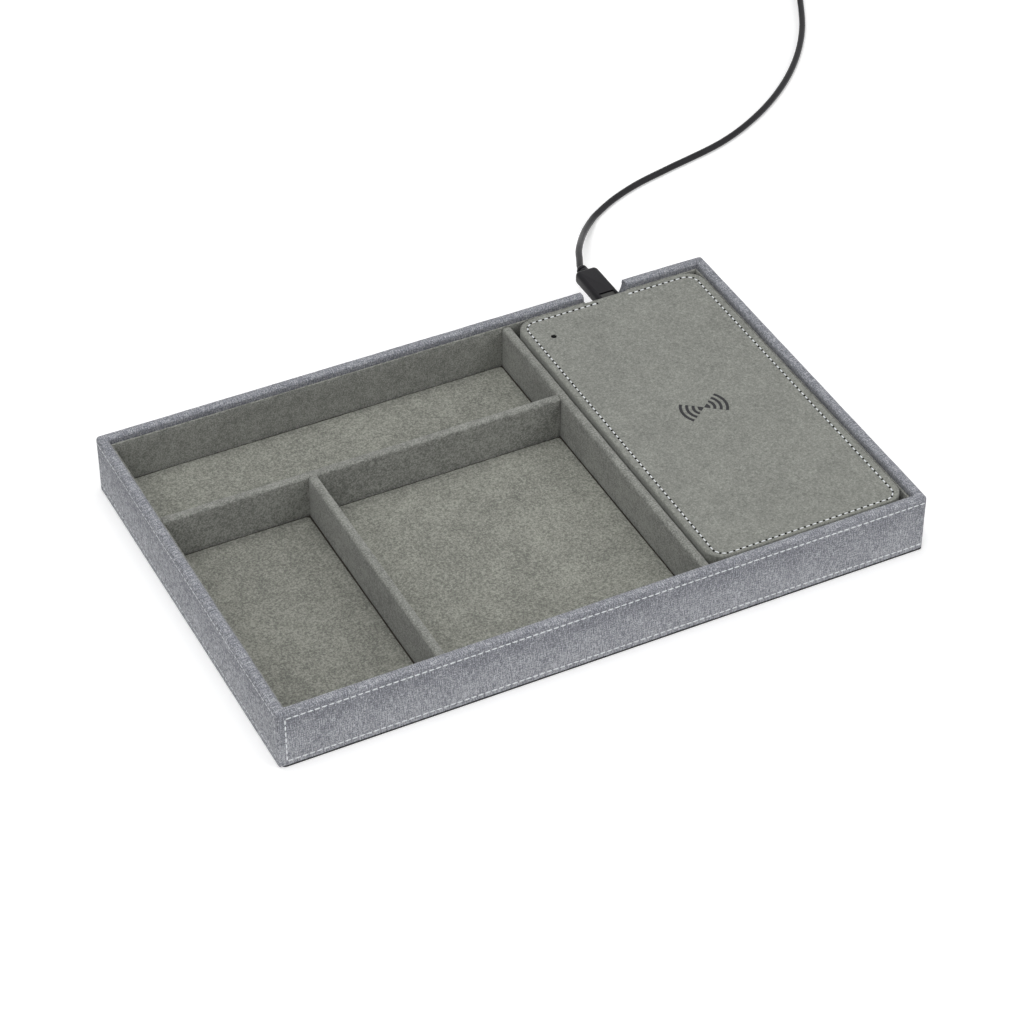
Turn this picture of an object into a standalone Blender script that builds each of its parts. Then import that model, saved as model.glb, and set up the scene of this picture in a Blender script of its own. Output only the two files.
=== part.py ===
"""Fabric covered valet tray with a wireless charging pad and its USB lead.

Metres, +Z up. The origin is the middle of the tray's footprint, on the surface that it stands on.
The long front wall faces -Y, and the charging pad fills the bay at +X.
"""

import math

import bmesh
import bpy
from mathutils import Matrix, Vector

# Clearance between pieces that lie against each other
GAP = 0.0003

# Tray, outside
TRAY_WIDTH = 0.300
TRAY_DEPTH = 0.197
TRAY_HEIGHT = 0.0286
CORNER_RADIUS = 0.0018
RIM_ROUND = 0.0016

# Thickness of each layer
SHEET = 0.0012
BASE_BOARD = 0.0024
WALL_BOARD = 0.0024
FABRIC = 0.0008
LINING = 0.0009
FLOOR_LINING = 0.0008
SHEET_INSET = 0.0003
LINING_DROP = 0.0029

# Dividers
DIVIDER_CORE = 0.0020
DIVIDER_SKIN = 0.0008
DIVIDER_DROP = 0.0033
DIVIDER_ROUND = 0.0012
BAY_WIDTH = 0.0959
PEN_TRAY_DEPTH = 0.0536
SMALL_TRAY_WIDTH = 0.0667

# Riser under the pad
RISER_RAIL_HEIGHT = 0.0085
RISER_RAIL_WIDTH = 0.0100
RISER_RAIL_INSET = 0.0120
RISER_BOARD = 0.0024

# Charging pad
PAD_THICKNESS = 0.0103
PAD_LEFT_GAP = 0.0010
PAD_RIGHT_GAP = 0.0006
PAD_FRONT_GAP = 0.0005
PAD_BACK_GAP = 0.0012
PAD_CORNER = 0.0085
PAD_ROUND = 0.0015
PAD_SKIN = 0.0009
SHELL_WALL = 0.0015
SHELL_FLOOR = 0.0015
FOOT_HEIGHT = 0.0007
FOOT_RADIUS = 0.0050
FOOT_INSET = 0.0200
LIGHT_RADIUS = 0.0011
LIGHT_LENGTH = 0.0040
LIGHT_SUNK = 0.0002
LIGHT_FROM_LEFT = 0.0120
LIGHT_FROM_BACK = 0.0165

# Inside the pad
BOSS_RADIUS = 0.0026
BOSS_INSET = 0.0085
SCREW_RADIUS = 0.0010
SCREW_LENGTH = 0.0045
SCREW_HEAD_RADIUS = 0.0019
SCREW_HEAD = 0.0005
SCREW_SINK = 0.0009
COIL_THICKNESS = 0.0015
COIL_OUTER_RADIUS = 0.0220
COIL_INNER_RADIUS = 0.0100
FERRITE_THICKNESS = 0.0010
FERRITE_RADIUS = 0.0250
CIRCUIT_WIDTH = 0.0600
CIRCUIT_DEPTH = 0.0420
CIRCUIT_THICKNESS = 0.0016
CIRCUIT_FROM_BACK = 0.0010

# Port and plug
PORT_SHIFT = 0.0030
SOCKET_WIDTH = 0.0092
SOCKET_HEIGHT = 0.0034
SOCKET_DEPTH = 0.0074
SOCKET_WALL = 0.0003
TONGUE_WIDTH = 0.0066
TONGUE_THICKNESS = 0.0007
TONGUE_LENGTH = 0.0052
PLUG_SHELL_WIDTH = 0.0083
PLUG_SHELL_HEIGHT = 0.0025
PLUG_SHELL_WALL = 0.0003
PLUG_SHELL_LENGTH = 0.0065
PLUG_WIDTH = 0.0114
PLUG_HEIGHT = 0.0062
PLUG_LENGTH = 0.0256
PLUG_ROUND = 0.0022
STUB_RADIUS = 0.0026
STUB_TIP_RADIUS = 0.0022
STUB_LENGTH = 0.0042

# Notch in the back wall
NOTCH_RADIUS = 0.0110
NOTCH_LIP = 0.0016
NOTCH_SHIFT = 0.0020

# Lead
CORD_DIAMETER = 0.0032
CORD_STEP = 0.0080
TURN_PITCH = 0.0038
TURNS_MIDDLE_RADIUS = 0.01903
WHOLE_TURNS = 5
TURN_POINTS = 24
CLIMB_SHARE = 0.5
TURN_CENTRE_X = 0.3223
TURN_CENTRE_Y = 0.3501
ENTRY_ANGLE = math.radians(-24.0)
EXIT_ANGLE = math.radians(63.3)
TAIL_LENGTH = 0.0260
TAIL_POINTS = 6
TAIL_LEVEL_SHARE = 0.8
TIE_THICKNESS = 0.0006
TIE_WIDTH = 0.0060
TIE_ANGLE = math.radians(205.0)
TIE_ROUND = 0.0018

# USB-A plug on the far end
USB_A_WIDTH = 0.0150
USB_A_HEIGHT = 0.0080
USB_A_LENGTH = 0.0240
USB_A_ROUND = 0.0020
USB_A_SHELL_WIDTH = 0.0120
USB_A_SHELL_HEIGHT = 0.0045
USB_A_SHELL_LENGTH = 0.0122
USB_A_SHELL_WALL = 0.0004
USB_A_TONGUE_HEIGHT = 0.0018
USB_A_TONGUE_LENGTH = 0.0110

# The lead's way over the table, from the plug's tip to just short of the wound turns
CORD_ROUTE = (
    (0.1032, 0.1307, 0.0211),
    (0.1068, 0.1380, 0.0192),
    (0.1119, 0.1467, 0.0159),
    (0.1195, 0.1583, 0.0105),
    (0.1272, 0.1692, 0.0058),
    (0.1341, 0.1773, 0.0030),
    (0.1406, 0.1832, 0.0018),
    (0.1545, 0.1912, 0.0016),
    (0.1711, 0.1976, 0.0016),
    (0.1911, 0.2026, 0.0016),
    (0.2256, 0.2109, 0.0016),
    (0.2525, 0.2234, 0.0016),
    (0.2769, 0.2403, 0.0016),
    (0.2984, 0.2610, 0.0016),
    (0.3165, 0.2849, 0.0018),
    (0.3308, 0.3113, 0.0023),
)

# How finely curves are cut into flat faces
CORNER_STEPS = 5
EDGE_STEPS = 3
CIRCLE_STEPS = 24
SMALL_CIRCLE_STEPS = 16
LEAST_RADIUS = 0.00005
OVERRUN = 0.0020
MERGE = 0.000001
CURVE_PARTS = 24
SHARP_ANGLE = math.radians(35.0)
FREE_CORD_BEVEL_STEPS = 2
COIL_BEVEL_STEPS = 1
NEIGHBOUR_POINTS = 8

# Name: colour, roughness, metallic
FINISHES = {
    "fabric": ((0.262, 0.271, 0.300, 1.0), 0.90, 0.0),
    "suede": ((0.225, 0.232, 0.212, 1.0), 0.95, 0.0),
    "pad_suede": ((0.242, 0.250, 0.226, 1.0), 0.92, 0.0),
    "board": ((0.300, 0.260, 0.200, 1.0), 0.85, 0.0),
    "underside": ((0.020, 0.020, 0.021, 1.0), 0.90, 0.0),
    "casing": ((0.030, 0.030, 0.032, 1.0), 0.50, 0.0),
    "rubber": ((0.028, 0.028, 0.028, 1.0), 0.75, 0.0),
    "steel": ((0.560, 0.560, 0.550, 1.0), 0.32, 1.0),
    "circuit": ((0.020, 0.120, 0.050, 1.0), 0.45, 0.0),
    "copper": ((0.600, 0.260, 0.120, 1.0), 0.35, 1.0),
    "ferrite": ((0.050, 0.050, 0.052, 1.0), 0.60, 0.0),
    "lens": ((0.040, 0.040, 0.045, 1.0), 0.20, 0.0),
    "plug": ((0.030, 0.030, 0.034, 1.0), 0.50, 0.0),
    "cord": ((0.027, 0.027, 0.030, 1.0), 0.45, 0.0),
    "contact_white": ((0.700, 0.700, 0.680, 1.0), 0.50, 0.0),
}

# Heights, from the table up
board_bottom = SHEET + GAP
base_top = board_bottom + BASE_BOARD
seat = base_top + GAP
floor_top = seat + FLOOR_LINING
lining_top = TRAY_HEIGHT - LINING_DROP
divider_top = TRAY_HEIGHT - DIVIDER_DROP
rail_top = seat + RISER_RAIL_HEIGHT
riser_bottom = rail_top + GAP
riser_top = riser_bottom + RISER_BOARD
foot_bottom = riser_top + GAP
pad_bottom = foot_bottom + FOOT_HEIGHT + GAP
pad_top = pad_bottom + PAD_THICKNESS
shell_floor_top = pad_bottom + SHELL_FLOOR
skin_bottom = shell_floor_top + GAP
shell_top = pad_top - PAD_SKIN - GAP
ceiling = shell_top - SHELL_WALL
circuit_bottom = shell_floor_top + GAP
circuit_top = circuit_bottom + CIRCUIT_THICKNESS
port_z = circuit_top + GAP + SOCKET_HEIGHT / 2

# Walls, from the outside in
half_width = TRAY_WIDTH / 2
half_depth = TRAY_DEPTH / 2
board_inset = FABRIC + GAP
wall = WALL_BOARD + 2 * board_inset
lining_x = half_width - wall - GAP
lining_y = half_depth - wall - GAP
inside_x = lining_x - LINING
inside_y = lining_y - LINING

# Dividers and the spaces between them
divider = DIVIDER_CORE + 2 * (DIVIDER_SKIN + GAP)
bay_left = inside_x - BAY_WIDTH
long_left = bay_left - divider
cross_back = inside_y - PEN_TRAY_DEPTH
cross_front = cross_back - divider
short_left = -inside_x + SMALL_TRAY_WIDTH
short_right = short_left + divider

# Pad outline
pad_x0 = bay_left + PAD_LEFT_GAP
pad_x1 = inside_x - PAD_RIGHT_GAP
pad_y0 = -inside_y + PAD_FRONT_GAP
pad_y1 = inside_y - PAD_BACK_GAP
pad_limits = (pad_x0, pad_x1, pad_y0, pad_y1)
pad_x = (pad_x0 + pad_x1) / 2
pad_y = (pad_y0 + pad_y1) / 2
port_x = pad_x + PORT_SHIFT
notch_x = port_x - NOTCH_SHIFT
notch_z = TRAY_HEIGHT - NOTCH_LIP
shell_inset = PAD_SKIN + GAP
port_y = pad_y1 - shell_inset
plug_y0 = pad_y1 + GAP
plug_y1 = plug_y0 + PLUG_LENGTH
stub_y1 = plug_y1 + STUB_LENGTH

# Name of each wall, and the side that it stands on in X and Y
WALLS = (("front", 0, -1), ("back", 0, 1), ("left", -1, 0), ("right", 1, 0))

materials = {}
origins = {}


def clear_scene():
    for thing in list(bpy.data.objects):
        bpy.data.objects.remove(thing)


def make_materials():
    for name, (colour, roughness, metallic) in FINISHES.items():
        material = bpy.data.materials.new(name)
        material.use_nodes = True
        shader = material.node_tree.nodes["Principled BSDF"]
        shader.inputs["Base Color"].default_value = colour
        shader.inputs["Roughness"].default_value = roughness
        shader.inputs["Metallic"].default_value = metallic
        material.diffuse_color = colour
        materials[name] = material


def make_origin(name, place):
    """An empty that carries one moving body, on the line that it slides along."""
    empty = bpy.data.objects.new(name, None)
    empty.location = place
    bpy.context.collection.objects.link(empty)
    origins[name] = empty


def add(name, data, finish, carrier=None):
    piece = bpy.data.objects.new(name, data)
    bpy.context.collection.objects.link(piece)
    data.materials.append(materials[finish])
    if carrier:
        piece.parent = origins[carrier]
        piece.matrix_parent_inverse = Matrix.Translation(-origins[carrier].location)
    return piece


def mesh_from(bm, name):
    bmesh.ops.remove_doubles(bm, verts=bm.verts, dist=MERGE)
    bmesh.ops.recalc_face_normals(bm, faces=bm.faces)
    mesh = bpy.data.meshes.new(name)
    bm.to_mesh(mesh)
    bm.free()
    mesh.shade_smooth()
    mesh.set_sharp_from_angle(angle=SHARP_ANGLE)
    return mesh


def cutter(name, mesh):
    piece = bpy.data.objects.new(name, mesh)
    bpy.context.collection.objects.link(piece)
    piece.hide_render = True
    piece.display_type = "WIRE"
    return piece


def combine(piece, other, operation="DIFFERENCE"):
    modifier = piece.modifiers.new(other.name, "BOOLEAN")
    modifier.operation = operation
    modifier.solver = "EXACT"
    modifier.object = other


def corner_arc(centre_x, centre_y, radius, start, steps):
    """Points of a quarter circle, anticlockwise from the start angle."""
    turns = [start + math.pi / 2 * step / steps for step in range(steps + 1)]
    return [(centre_x + radius * math.cos(a), centre_y + radius * math.sin(a)) for a in turns]


def rounded_outline(x0, x1, y0, y1, radius, steps=CORNER_STEPS):
    """A rectangle with round corners, as points in a plane."""
    r = min(max(radius, LEAST_RADIUS), (x1 - x0) / 2 - LEAST_RADIUS, (y1 - y0) / 2 - LEAST_RADIUS)
    return (
        corner_arc(x1 - r, y0 + r, r, -math.pi / 2, steps)
        + corner_arc(x1 - r, y1 - r, r, 0, steps)
        + corner_arc(x0 + r, y1 - r, r, math.pi / 2, steps)
        + corner_arc(x0 + r, y0 + r, r, math.pi, steps)
    )


def prism(name, outline, along):
    """A flat outline, drawn as points in space, pushed straight along a vector."""
    bm = bmesh.new()
    face = bm.faces.new([bm.verts.new(point) for point in outline])
    grown = bmesh.ops.extrude_face_region(bm, geom=[face])
    moved = [item for item in grown["geom"] if isinstance(item, bmesh.types.BMVert)]
    bmesh.ops.translate(bm, verts=moved, vec=along)
    return mesh_from(bm, name)


def upright_prism(name, outline, z0, z1):
    return prism(name, [(x, y, z0) for x, y in outline], (0, 0, z1 - z0))


def bar(name, outline, y0, y1):
    """An outline in the XZ plane, drawn out along Y."""
    return prism(name, [(x, y0, z) for x, z in outline], (0, y1 - y0, 0))


def block(name, x0, x1, y0, y1, z0, z1):
    return upright_prism(name, [(x0, y0), (x1, y0), (x1, y1), (x0, y1)], z0, z1)


def lofted(name, limits, corner, levels, closed=False):
    """Round cornered outlines, each at an inset and a height, joined one after the other."""
    x0, x1, y0, y1 = limits
    bm = bmesh.new()
    rings = []
    for inset, z in levels:
        outline = rounded_outline(x0 + inset, x1 - inset, y0 + inset, y1 - inset, corner - inset)
        rings.append([bm.verts.new((x, y, z)) for x, y in outline])
    if closed:
        rings.append(rings[0])
    else:
        bm.faces.new(rings[0])
        bm.faces.new(rings[-1])
    for lower, upper in zip(rings, rings[1:]):
        for a, b, c, d in zip(lower, lower[1:] + lower[:1], upper[1:] + upper[:1], upper):
            bm.faces.new((a, b, c, d))
    return mesh_from(bm, name)


def rounded_top(inset, top, radius, steps=EDGE_STEPS):
    """Levels of a wall's outer edge that turns over into a flat top."""
    r = max(radius, LEAST_RADIUS)
    turns = [math.pi / 2 * step / steps for step in range(steps + 1)]
    return [(inset + r * (1 - math.cos(a)), top - r * (1 - math.sin(a))) for a in turns]


def turned(name, profile, centre_x, centre_y, steps=CIRCLE_STEPS):
    """A profile of radius and height, spun round an upright axis."""
    bm = bmesh.new()
    points = [bm.verts.new((centre_x + radius, centre_y, z)) for radius, z in profile]
    edges = [bm.edges.new(pair) for pair in zip(points, points[1:])]
    bmesh.ops.spin(
        bm,
        geom=points + edges,
        cent=(centre_x, centre_y, 0),
        axis=(0, 0, 1),
        angle=math.tau,
        steps=steps,
        use_merge=True,
    )
    return mesh_from(bm, name)


def disc(name, centre_x, centre_y, radius, z0, z1, steps=CIRCLE_STEPS):
    return turned(name, [(0, z1), (radius, z1), (radius, z0), (0, z0)], centre_x, centre_y, steps)


def notch_outline(radius):
    """The U of the notch, open past the rim, as points in the XZ plane."""
    top = TRAY_HEIGHT + OVERRUN
    steps = range(CIRCLE_STEPS + 1)
    turns = [math.pi * (1 + step / CIRCLE_STEPS) for step in steps]
    bowl = [(notch_x + radius * math.cos(a), notch_z + radius * math.sin(a)) for a in turns]
    return [(notch_x - radius, top)] + bowl + [(notch_x + radius, top)]


def notch_cutter(name, radius):
    y0 = inside_y - GAP
    return cutter(name, bar(name, notch_outline(radius), y0, half_depth + OVERRUN))


def smooth_step(share):
    share = min(max(share, 0), 1)
    return share * share * (3 - 2 * share)


def make_tray_base():
    sheet_x = half_width - SHEET_INSET
    sheet_y = half_depth - SHEET_INSET
    outline = rounded_outline(-sheet_x, sheet_x, -sheet_y, sheet_y, CORNER_RADIUS)
    add("base_sheet", upright_prism("base_sheet", outline, 0, SHEET), "underside")
    x = half_width - board_inset - WALL_BOARD - GAP
    y = half_depth - board_inset - WALL_BOARD - GAP
    add("base_board", block("base_board", -x, x, -y, y, board_bottom, base_top), "board")


def mitred_region(name, side_x, side_y):
    """The part of the tray's plan that one wall takes up, cut at 45 degrees at its two corners."""
    far_x = half_width + OVERRUN
    far_y = half_depth + OVERRUN
    depth = wall + 2 * OVERRUN
    split = GAP * math.sqrt(2) / 2
    if side_y:
        near = far_y - depth
        plan = [(split - far_x, far_y), (far_x - split, far_y)]
        plan += [(far_x - depth - split, near), (depth + split - far_x, near)]
    else:
        near = far_x - depth
        plan = [(far_x, split - far_y), (far_x, far_y - split)]
        plan += [(near, far_y - depth - split), (near, depth + split - far_y)]
    plan = [(x * (side_x or 1), y * (side_y or 1)) for x, y in plan]
    return cutter(name, upright_prism(name, plan, -OVERRUN, TRAY_HEIGHT + OVERRUN))


def make_walls():
    """Four boards on edge round the base board, mitred at the corners."""
    limits = (-half_width, half_width, -half_depth, half_depth)
    outside = rounded_top(board_inset, TRAY_HEIGHT - board_inset, RIM_ROUND - board_inset)
    inside = [(wall - inset, z) for inset, z in reversed(outside)]
    levels = outside + inside + [(wall - board_inset, board_bottom), (board_inset, board_bottom)]
    for name, side_x, side_y in WALLS:
        board = add(name + "_wall_board", lofted(name, limits, CORNER_RADIUS, levels, True), "board")
        combine(board, mitred_region(name + "_region", side_x, side_y), "INTERSECT")
        if name == "back":
            combine(board, notch_cutter("board_notch", NOTCH_RADIUS + board_inset))


def make_cover():
    """One skin of fabric: up the outside of the walls, over the rim and down behind the linings."""
    limits = (-half_width, half_width, -half_depth, half_depth)
    outside = rounded_top(0, TRAY_HEIGHT, RIM_ROUND)
    inside = [(wall - inset, z) for inset, z in reversed(outside)]
    step = [(wall, seat), (wall / 2, seat), (wall / 2, board_bottom), (0, board_bottom)]
    skin = lofted("outer_cover", limits, CORNER_RADIUS, outside + inside + step, True)
    cover = add("outer_cover", skin, "fabric")
    combine(cover, notch_cutter("cover_notch", NOTCH_RADIUS))
    far = wall - FABRIC
    outside = rounded_top(FABRIC, TRAY_HEIGHT - FABRIC, RIM_ROUND - FABRIC)
    inside = [(wall - inset, z) for inset, z in reversed(outside)]
    step = [(far, -OVERRUN), (FABRIC, -OVERRUN)]
    room = lofted("board_space", limits, CORNER_RADIUS, outside + inside + step, True)
    space = cutter("board_space", room)
    combine(space, notch_cutter("space_notch", NOTCH_RADIUS + FABRIC))
    combine(cover, space)


def make_linings():
    """Suede panels on the inside of the walls, the back one in two, which meet behind the long divider."""
    side = inside_y - GAP
    meet = (long_left + bay_left) / 2
    for name, x0, x1, y0, y1 in (
        ("front_lining", -lining_x, lining_x, -lining_y, -inside_y),
        ("back_lining", -lining_x, meet - GAP / 2, inside_y, lining_y),
        ("bay_back_lining", meet + GAP / 2, lining_x, inside_y, lining_y),
        ("left_lining", -lining_x, -inside_x, -side, side),
        ("right_lining", inside_x, lining_x, -side, side),
    ):
        panel = add(name, block(name, x0, x1, y0, y1, seat, lining_top), "suede")
        if name == "bay_back_lining":
            combine(panel, notch_cutter("lining_notch", NOTCH_RADIUS))


def make_floor(name, x0, x1, y0, y1):
    add(name, block(name, x0 + GAP, x1 - GAP, y0 + GAP, y1 - GAP, seat, floor_top), "suede")


def make_divider(name, x0, x1, y0, y1):
    """A thin board on its edge, with one strip of suede folded over it from floor to floor."""
    skin = DIVIDER_SKIN + GAP
    along_y = y1 - y0 > x1 - x0
    low, high = (x0, x1) if along_y else (y0, y1)
    outer = rounded_top(low, divider_top, DIVIDER_ROUND)
    inner = rounded_top(low + DIVIDER_SKIN, divider_top - DIVIDER_SKIN, DIVIDER_ROUND - DIVIDER_SKIN)
    outer += [(low + high - across, z) for across, z in reversed(outer)]
    inner += [(low + high - across, z) for across, z in reversed(inner)]
    legs = [(high, seat), (high - DIVIDER_SKIN, seat)]
    section = outer + legs + inner[::-1] + [(low + DIVIDER_SKIN, seat), (low, seat)]
    if along_y:
        outline = [(across, y0, z) for across, z in section]
        wrap = prism(name + "_wrap", outline, (0, y1 - y0, 0))
        core = block(name + "_core", x0 + skin, x1 - skin, y0, y1, seat, divider_top - skin)
    else:
        outline = [(x0, across, z) for across, z in section]
        wrap = prism(name + "_wrap", outline, (x1 - x0, 0, 0))
        core = block(name + "_core", x0, x1, y0 + skin, y1 - skin, seat, divider_top - skin)
    add(name + "_wrap", wrap, "suede")
    add(name + "_core", core, "board")


def make_dividers_and_floors():
    y_end = inside_y - GAP
    make_divider("long_divider", long_left, bay_left, -y_end, y_end)
    make_divider("cross_divider", -inside_x + GAP, long_left - GAP, cross_front, cross_back)
    make_divider("short_divider", short_left, short_right, -y_end, cross_front - GAP)
    make_floor("pen_tray_floor", -inside_x, long_left, cross_back, inside_y)
    make_floor("small_tray_floor", -inside_x, short_left, -inside_y, cross_front)
    make_floor("middle_tray_floor", short_right, long_left, -inside_y, cross_front)


def make_riser():
    x0 = bay_left + GAP
    x1 = inside_x - GAP
    y = inside_y - GAP
    add("riser_board", block("riser_board", x0, x1, -y, y, riser_bottom, riser_top), "board")
    left = x0 + RISER_RAIL_INSET
    right = x1 - RISER_RAIL_INSET
    for name, x in (("riser_rail_left", left), ("riser_rail_right", right - RISER_RAIL_WIDTH)):
        add(name, block(name, x, x + RISER_RAIL_WIDTH, -y, y, seat, rail_top), "board")


def plug_outline(width, height, radius):
    """An outline in the XZ plane round the port's axis."""
    half_x = width / 2
    half_z = height / 2
    return rounded_outline(port_x - half_x, port_x + half_x, port_z - half_z, port_z + half_z, radius)


def port_cutter():
    """The opening through the pad's back where the socket sits."""
    width = SOCKET_WIDTH + 2 * GAP
    height = SOCKET_HEIGHT + 2 * GAP
    y0 = port_y - SHELL_WALL - OVERRUN
    outline = plug_outline(width, height, height / 2)
    return cutter("port_opening", bar("port_opening", outline, y0, pad_y1 + OVERRUN))


def pad_corners(inset):
    """The four places at one inset from the pad's sides."""
    return [(x, y) for x in (pad_x0 + inset, pad_x1 - inset) for y in (pad_y0 + inset, pad_y1 - inset)]


def light_place():
    return pad_x0 + LIGHT_FROM_LEFT, pad_y1 - LIGHT_FROM_BACK


def light_hole_cutter():
    light_x, light_y = light_place()
    low = ceiling - OVERRUN
    high = pad_top + OVERRUN
    hole = disc("light_hole", light_x, light_y, LIGHT_RADIUS + GAP, low, high, SMALL_CIRCLE_STEPS)
    return cutter("light_hole", hole)


def pad_block(name, inset, bottom, top, round_radius):
    """The pad's outline drawn in by an inset, with its upper edge turned over."""
    levels = [(inset, bottom)] + rounded_top(inset, top, round_radius)
    return lofted(name, pad_limits, PAD_CORNER, levels)


def make_pad_cover(opening, light_hole):
    """Suede over the pad's top and sides."""
    skin = pad_block("pad_cover", 0, skin_bottom, pad_top, PAD_ROUND)
    cover = add("pad_cover", skin, "pad_suede", "pad_origin")
    inner_round = PAD_ROUND - PAD_SKIN
    room = pad_block("cover_space", PAD_SKIN, skin_bottom - OVERRUN, pad_top - PAD_SKIN, inner_round)
    for other in (cutter("cover_space", room), opening, light_hole):
        combine(cover, other)


def make_pad_upper_shell(opening, light_hole):
    """A tub turned over, with a screw boss hanging from its ceiling near each corner."""
    inner_round = PAD_ROUND - shell_inset
    mesh = pad_block("pad_upper_shell", shell_inset, skin_bottom, shell_top, inner_round)
    shell = add("pad_upper_shell", mesh, "casing", "pad_origin")
    inset = shell_inset + SHELL_WALL
    levels = [(inset, skin_bottom - OVERRUN), (inset, ceiling)]
    room = lofted("shell_space", pad_limits, PAD_CORNER, levels)
    combine(shell, cutter("shell_space", room))
    boss_top = shell_top - SHELL_WALL / 2
    pilot_low = skin_bottom - OVERRUN
    pilot_top = skin_bottom + SCREW_LENGTH
    for number, (x, y) in enumerate(pad_corners(BOSS_INSET), 1):
        boss = disc(f"boss_{number}", x, y, BOSS_RADIUS, skin_bottom, boss_top, SMALL_CIRCLE_STEPS)
        combine(shell, cutter(f"boss_{number}", boss), "UNION")
        radius = SCREW_RADIUS + GAP
        pilot = disc(f"pilot_{number}", x, y, radius, pilot_low, pilot_top, SMALL_CIRCLE_STEPS)
        combine(shell, cutter(f"pilot_{number}", pilot))
    combine(shell, opening)
    combine(shell, light_hole)


def make_pad_lower_shell():
    """A plate that closes the pad from below, with sunk holes for the screws."""
    levels = [(GAP, pad_bottom), (GAP, shell_floor_top)]
    plate = lofted("pad_lower_shell", pad_limits, PAD_CORNER, levels)
    floor = add("pad_lower_shell", plate, "casing", "pad_origin")
    head = SCREW_HEAD_RADIUS + GAP
    shank = SCREW_RADIUS + GAP
    for number, (x, y) in enumerate(pad_corners(BOSS_INSET), 1):
        profile = [
            (0, shell_floor_top + OVERRUN),
            (shank, shell_floor_top + OVERRUN),
            (shank, pad_bottom + SCREW_SINK),
            (head, pad_bottom + SCREW_SINK),
            (head, pad_bottom - OVERRUN),
            (0, pad_bottom - OVERRUN),
        ]
        hole = turned(f"screw_hole_{number}", profile, x, y, SMALL_CIRCLE_STEPS)
        combine(floor, cutter(f"screw_hole_{number}", hole))


def make_pad_fasteners():
    head_top = pad_bottom + SCREW_SINK - GAP
    tip = head_top + SCREW_LENGTH - GAP
    for number, (x, y) in enumerate(pad_corners(BOSS_INSET), 1):
        profile = [
            (0, tip),
            (SCREW_RADIUS / 2, tip),
            (SCREW_RADIUS, tip - SCREW_RADIUS / 2),
            (SCREW_RADIUS, head_top),
            (SCREW_HEAD_RADIUS, head_top),
            (SCREW_HEAD_RADIUS, head_top - SCREW_HEAD / 2),
            (SCREW_HEAD_RADIUS / 2, head_top - SCREW_HEAD),
            (0, head_top - SCREW_HEAD),
        ]
        name = f"pad_screw_{number}"
        add(name, turned(name, profile, x, y, SMALL_CIRCLE_STEPS), "steel", "pad_origin")
    for number, (x, y) in enumerate(pad_corners(FOOT_INSET), 1):
        name = f"pad_foot_{number}"
        foot = disc(name, x, y, FOOT_RADIUS, foot_bottom, foot_bottom + FOOT_HEIGHT)
        add(name, foot, "rubber", "pad_origin")


def make_pad_electronics():
    coil_top = ceiling - GAP
    coil_bottom = coil_top - COIL_THICKNESS
    ferrite_top = coil_bottom - GAP
    ring = [
        (COIL_OUTER_RADIUS, coil_top),
        (COIL_OUTER_RADIUS, coil_bottom),
        (COIL_INNER_RADIUS, coil_bottom),
        (COIL_INNER_RADIUS, coil_top),
        (COIL_OUTER_RADIUS, coil_top),
    ]
    add("charging_coil", turned("charging_coil", ring, pad_x, pad_y), "copper", "pad_origin")
    ferrite_bottom = ferrite_top - FERRITE_THICKNESS
    plate = disc("ferrite_plate", pad_x, pad_y, FERRITE_RADIUS, ferrite_bottom, ferrite_top)
    add("ferrite_plate", plate, "ferrite", "pad_origin")

    x0 = pad_x - CIRCUIT_WIDTH / 2
    x1 = pad_x + CIRCUIT_WIDTH / 2
    y1 = port_y - SHELL_WALL - CIRCUIT_FROM_BACK
    y0 = y1 - CIRCUIT_DEPTH
    board = block("pad_circuit", x0, x1, y0, y1, circuit_bottom, circuit_top)
    circuit = add("pad_circuit", board, "circuit", "pad_origin")
    low = circuit_bottom - OVERRUN
    high = circuit_top + OVERRUN
    for number, (x, y) in enumerate(pad_corners(BOSS_INSET), 1):
        # Only a narrower pad's bosses reach the board
        name = f"boss_clearance_{number}"
        clearance = disc(name, x, y, BOSS_RADIUS + GAP, low, high, SMALL_CIRCLE_STEPS)
        combine(circuit, cutter(name, clearance))

    light_x, light_y = light_place()
    top = pad_top - LIGHT_SUNK
    low = top - LIGHT_LENGTH
    pipe = disc("status_light_pipe", light_x, light_y, LIGHT_RADIUS, low, top, SMALL_CIRCLE_STEPS)
    add("status_light_pipe", pipe, "lens", "pad_origin")


def make_socket():
    """A steel tube closed at its inner end, with the contact tongue standing out of that end."""
    y0 = port_y - SOCKET_DEPTH
    outline = plug_outline(SOCKET_WIDTH, SOCKET_HEIGHT, SOCKET_HEIGHT / 2)
    socket = add("usb_c_socket", bar("usb_c_socket", outline, y0, port_y), "steel", "pad_origin")
    width = SOCKET_WIDTH - 2 * SOCKET_WALL
    height = SOCKET_HEIGHT - 2 * SOCKET_WALL
    bore = bar("socket_bore", plug_outline(width, height, height / 2), y0 + SOCKET_WALL, port_y + OVERRUN)
    combine(socket, cutter("socket_bore", bore))
    x0 = port_x - TONGUE_WIDTH / 2
    x1 = x0 + TONGUE_WIDTH
    z0 = port_z - TONGUE_THICKNESS / 2
    z1 = z0 + TONGUE_THICKNESS
    tongue = block("socket_tongue", x0, x1, y0 + SOCKET_WALL / 2, y0 + TONGUE_LENGTH, z0, z1)
    combine(socket, cutter("socket_tongue", tongue), "UNION")


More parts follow.
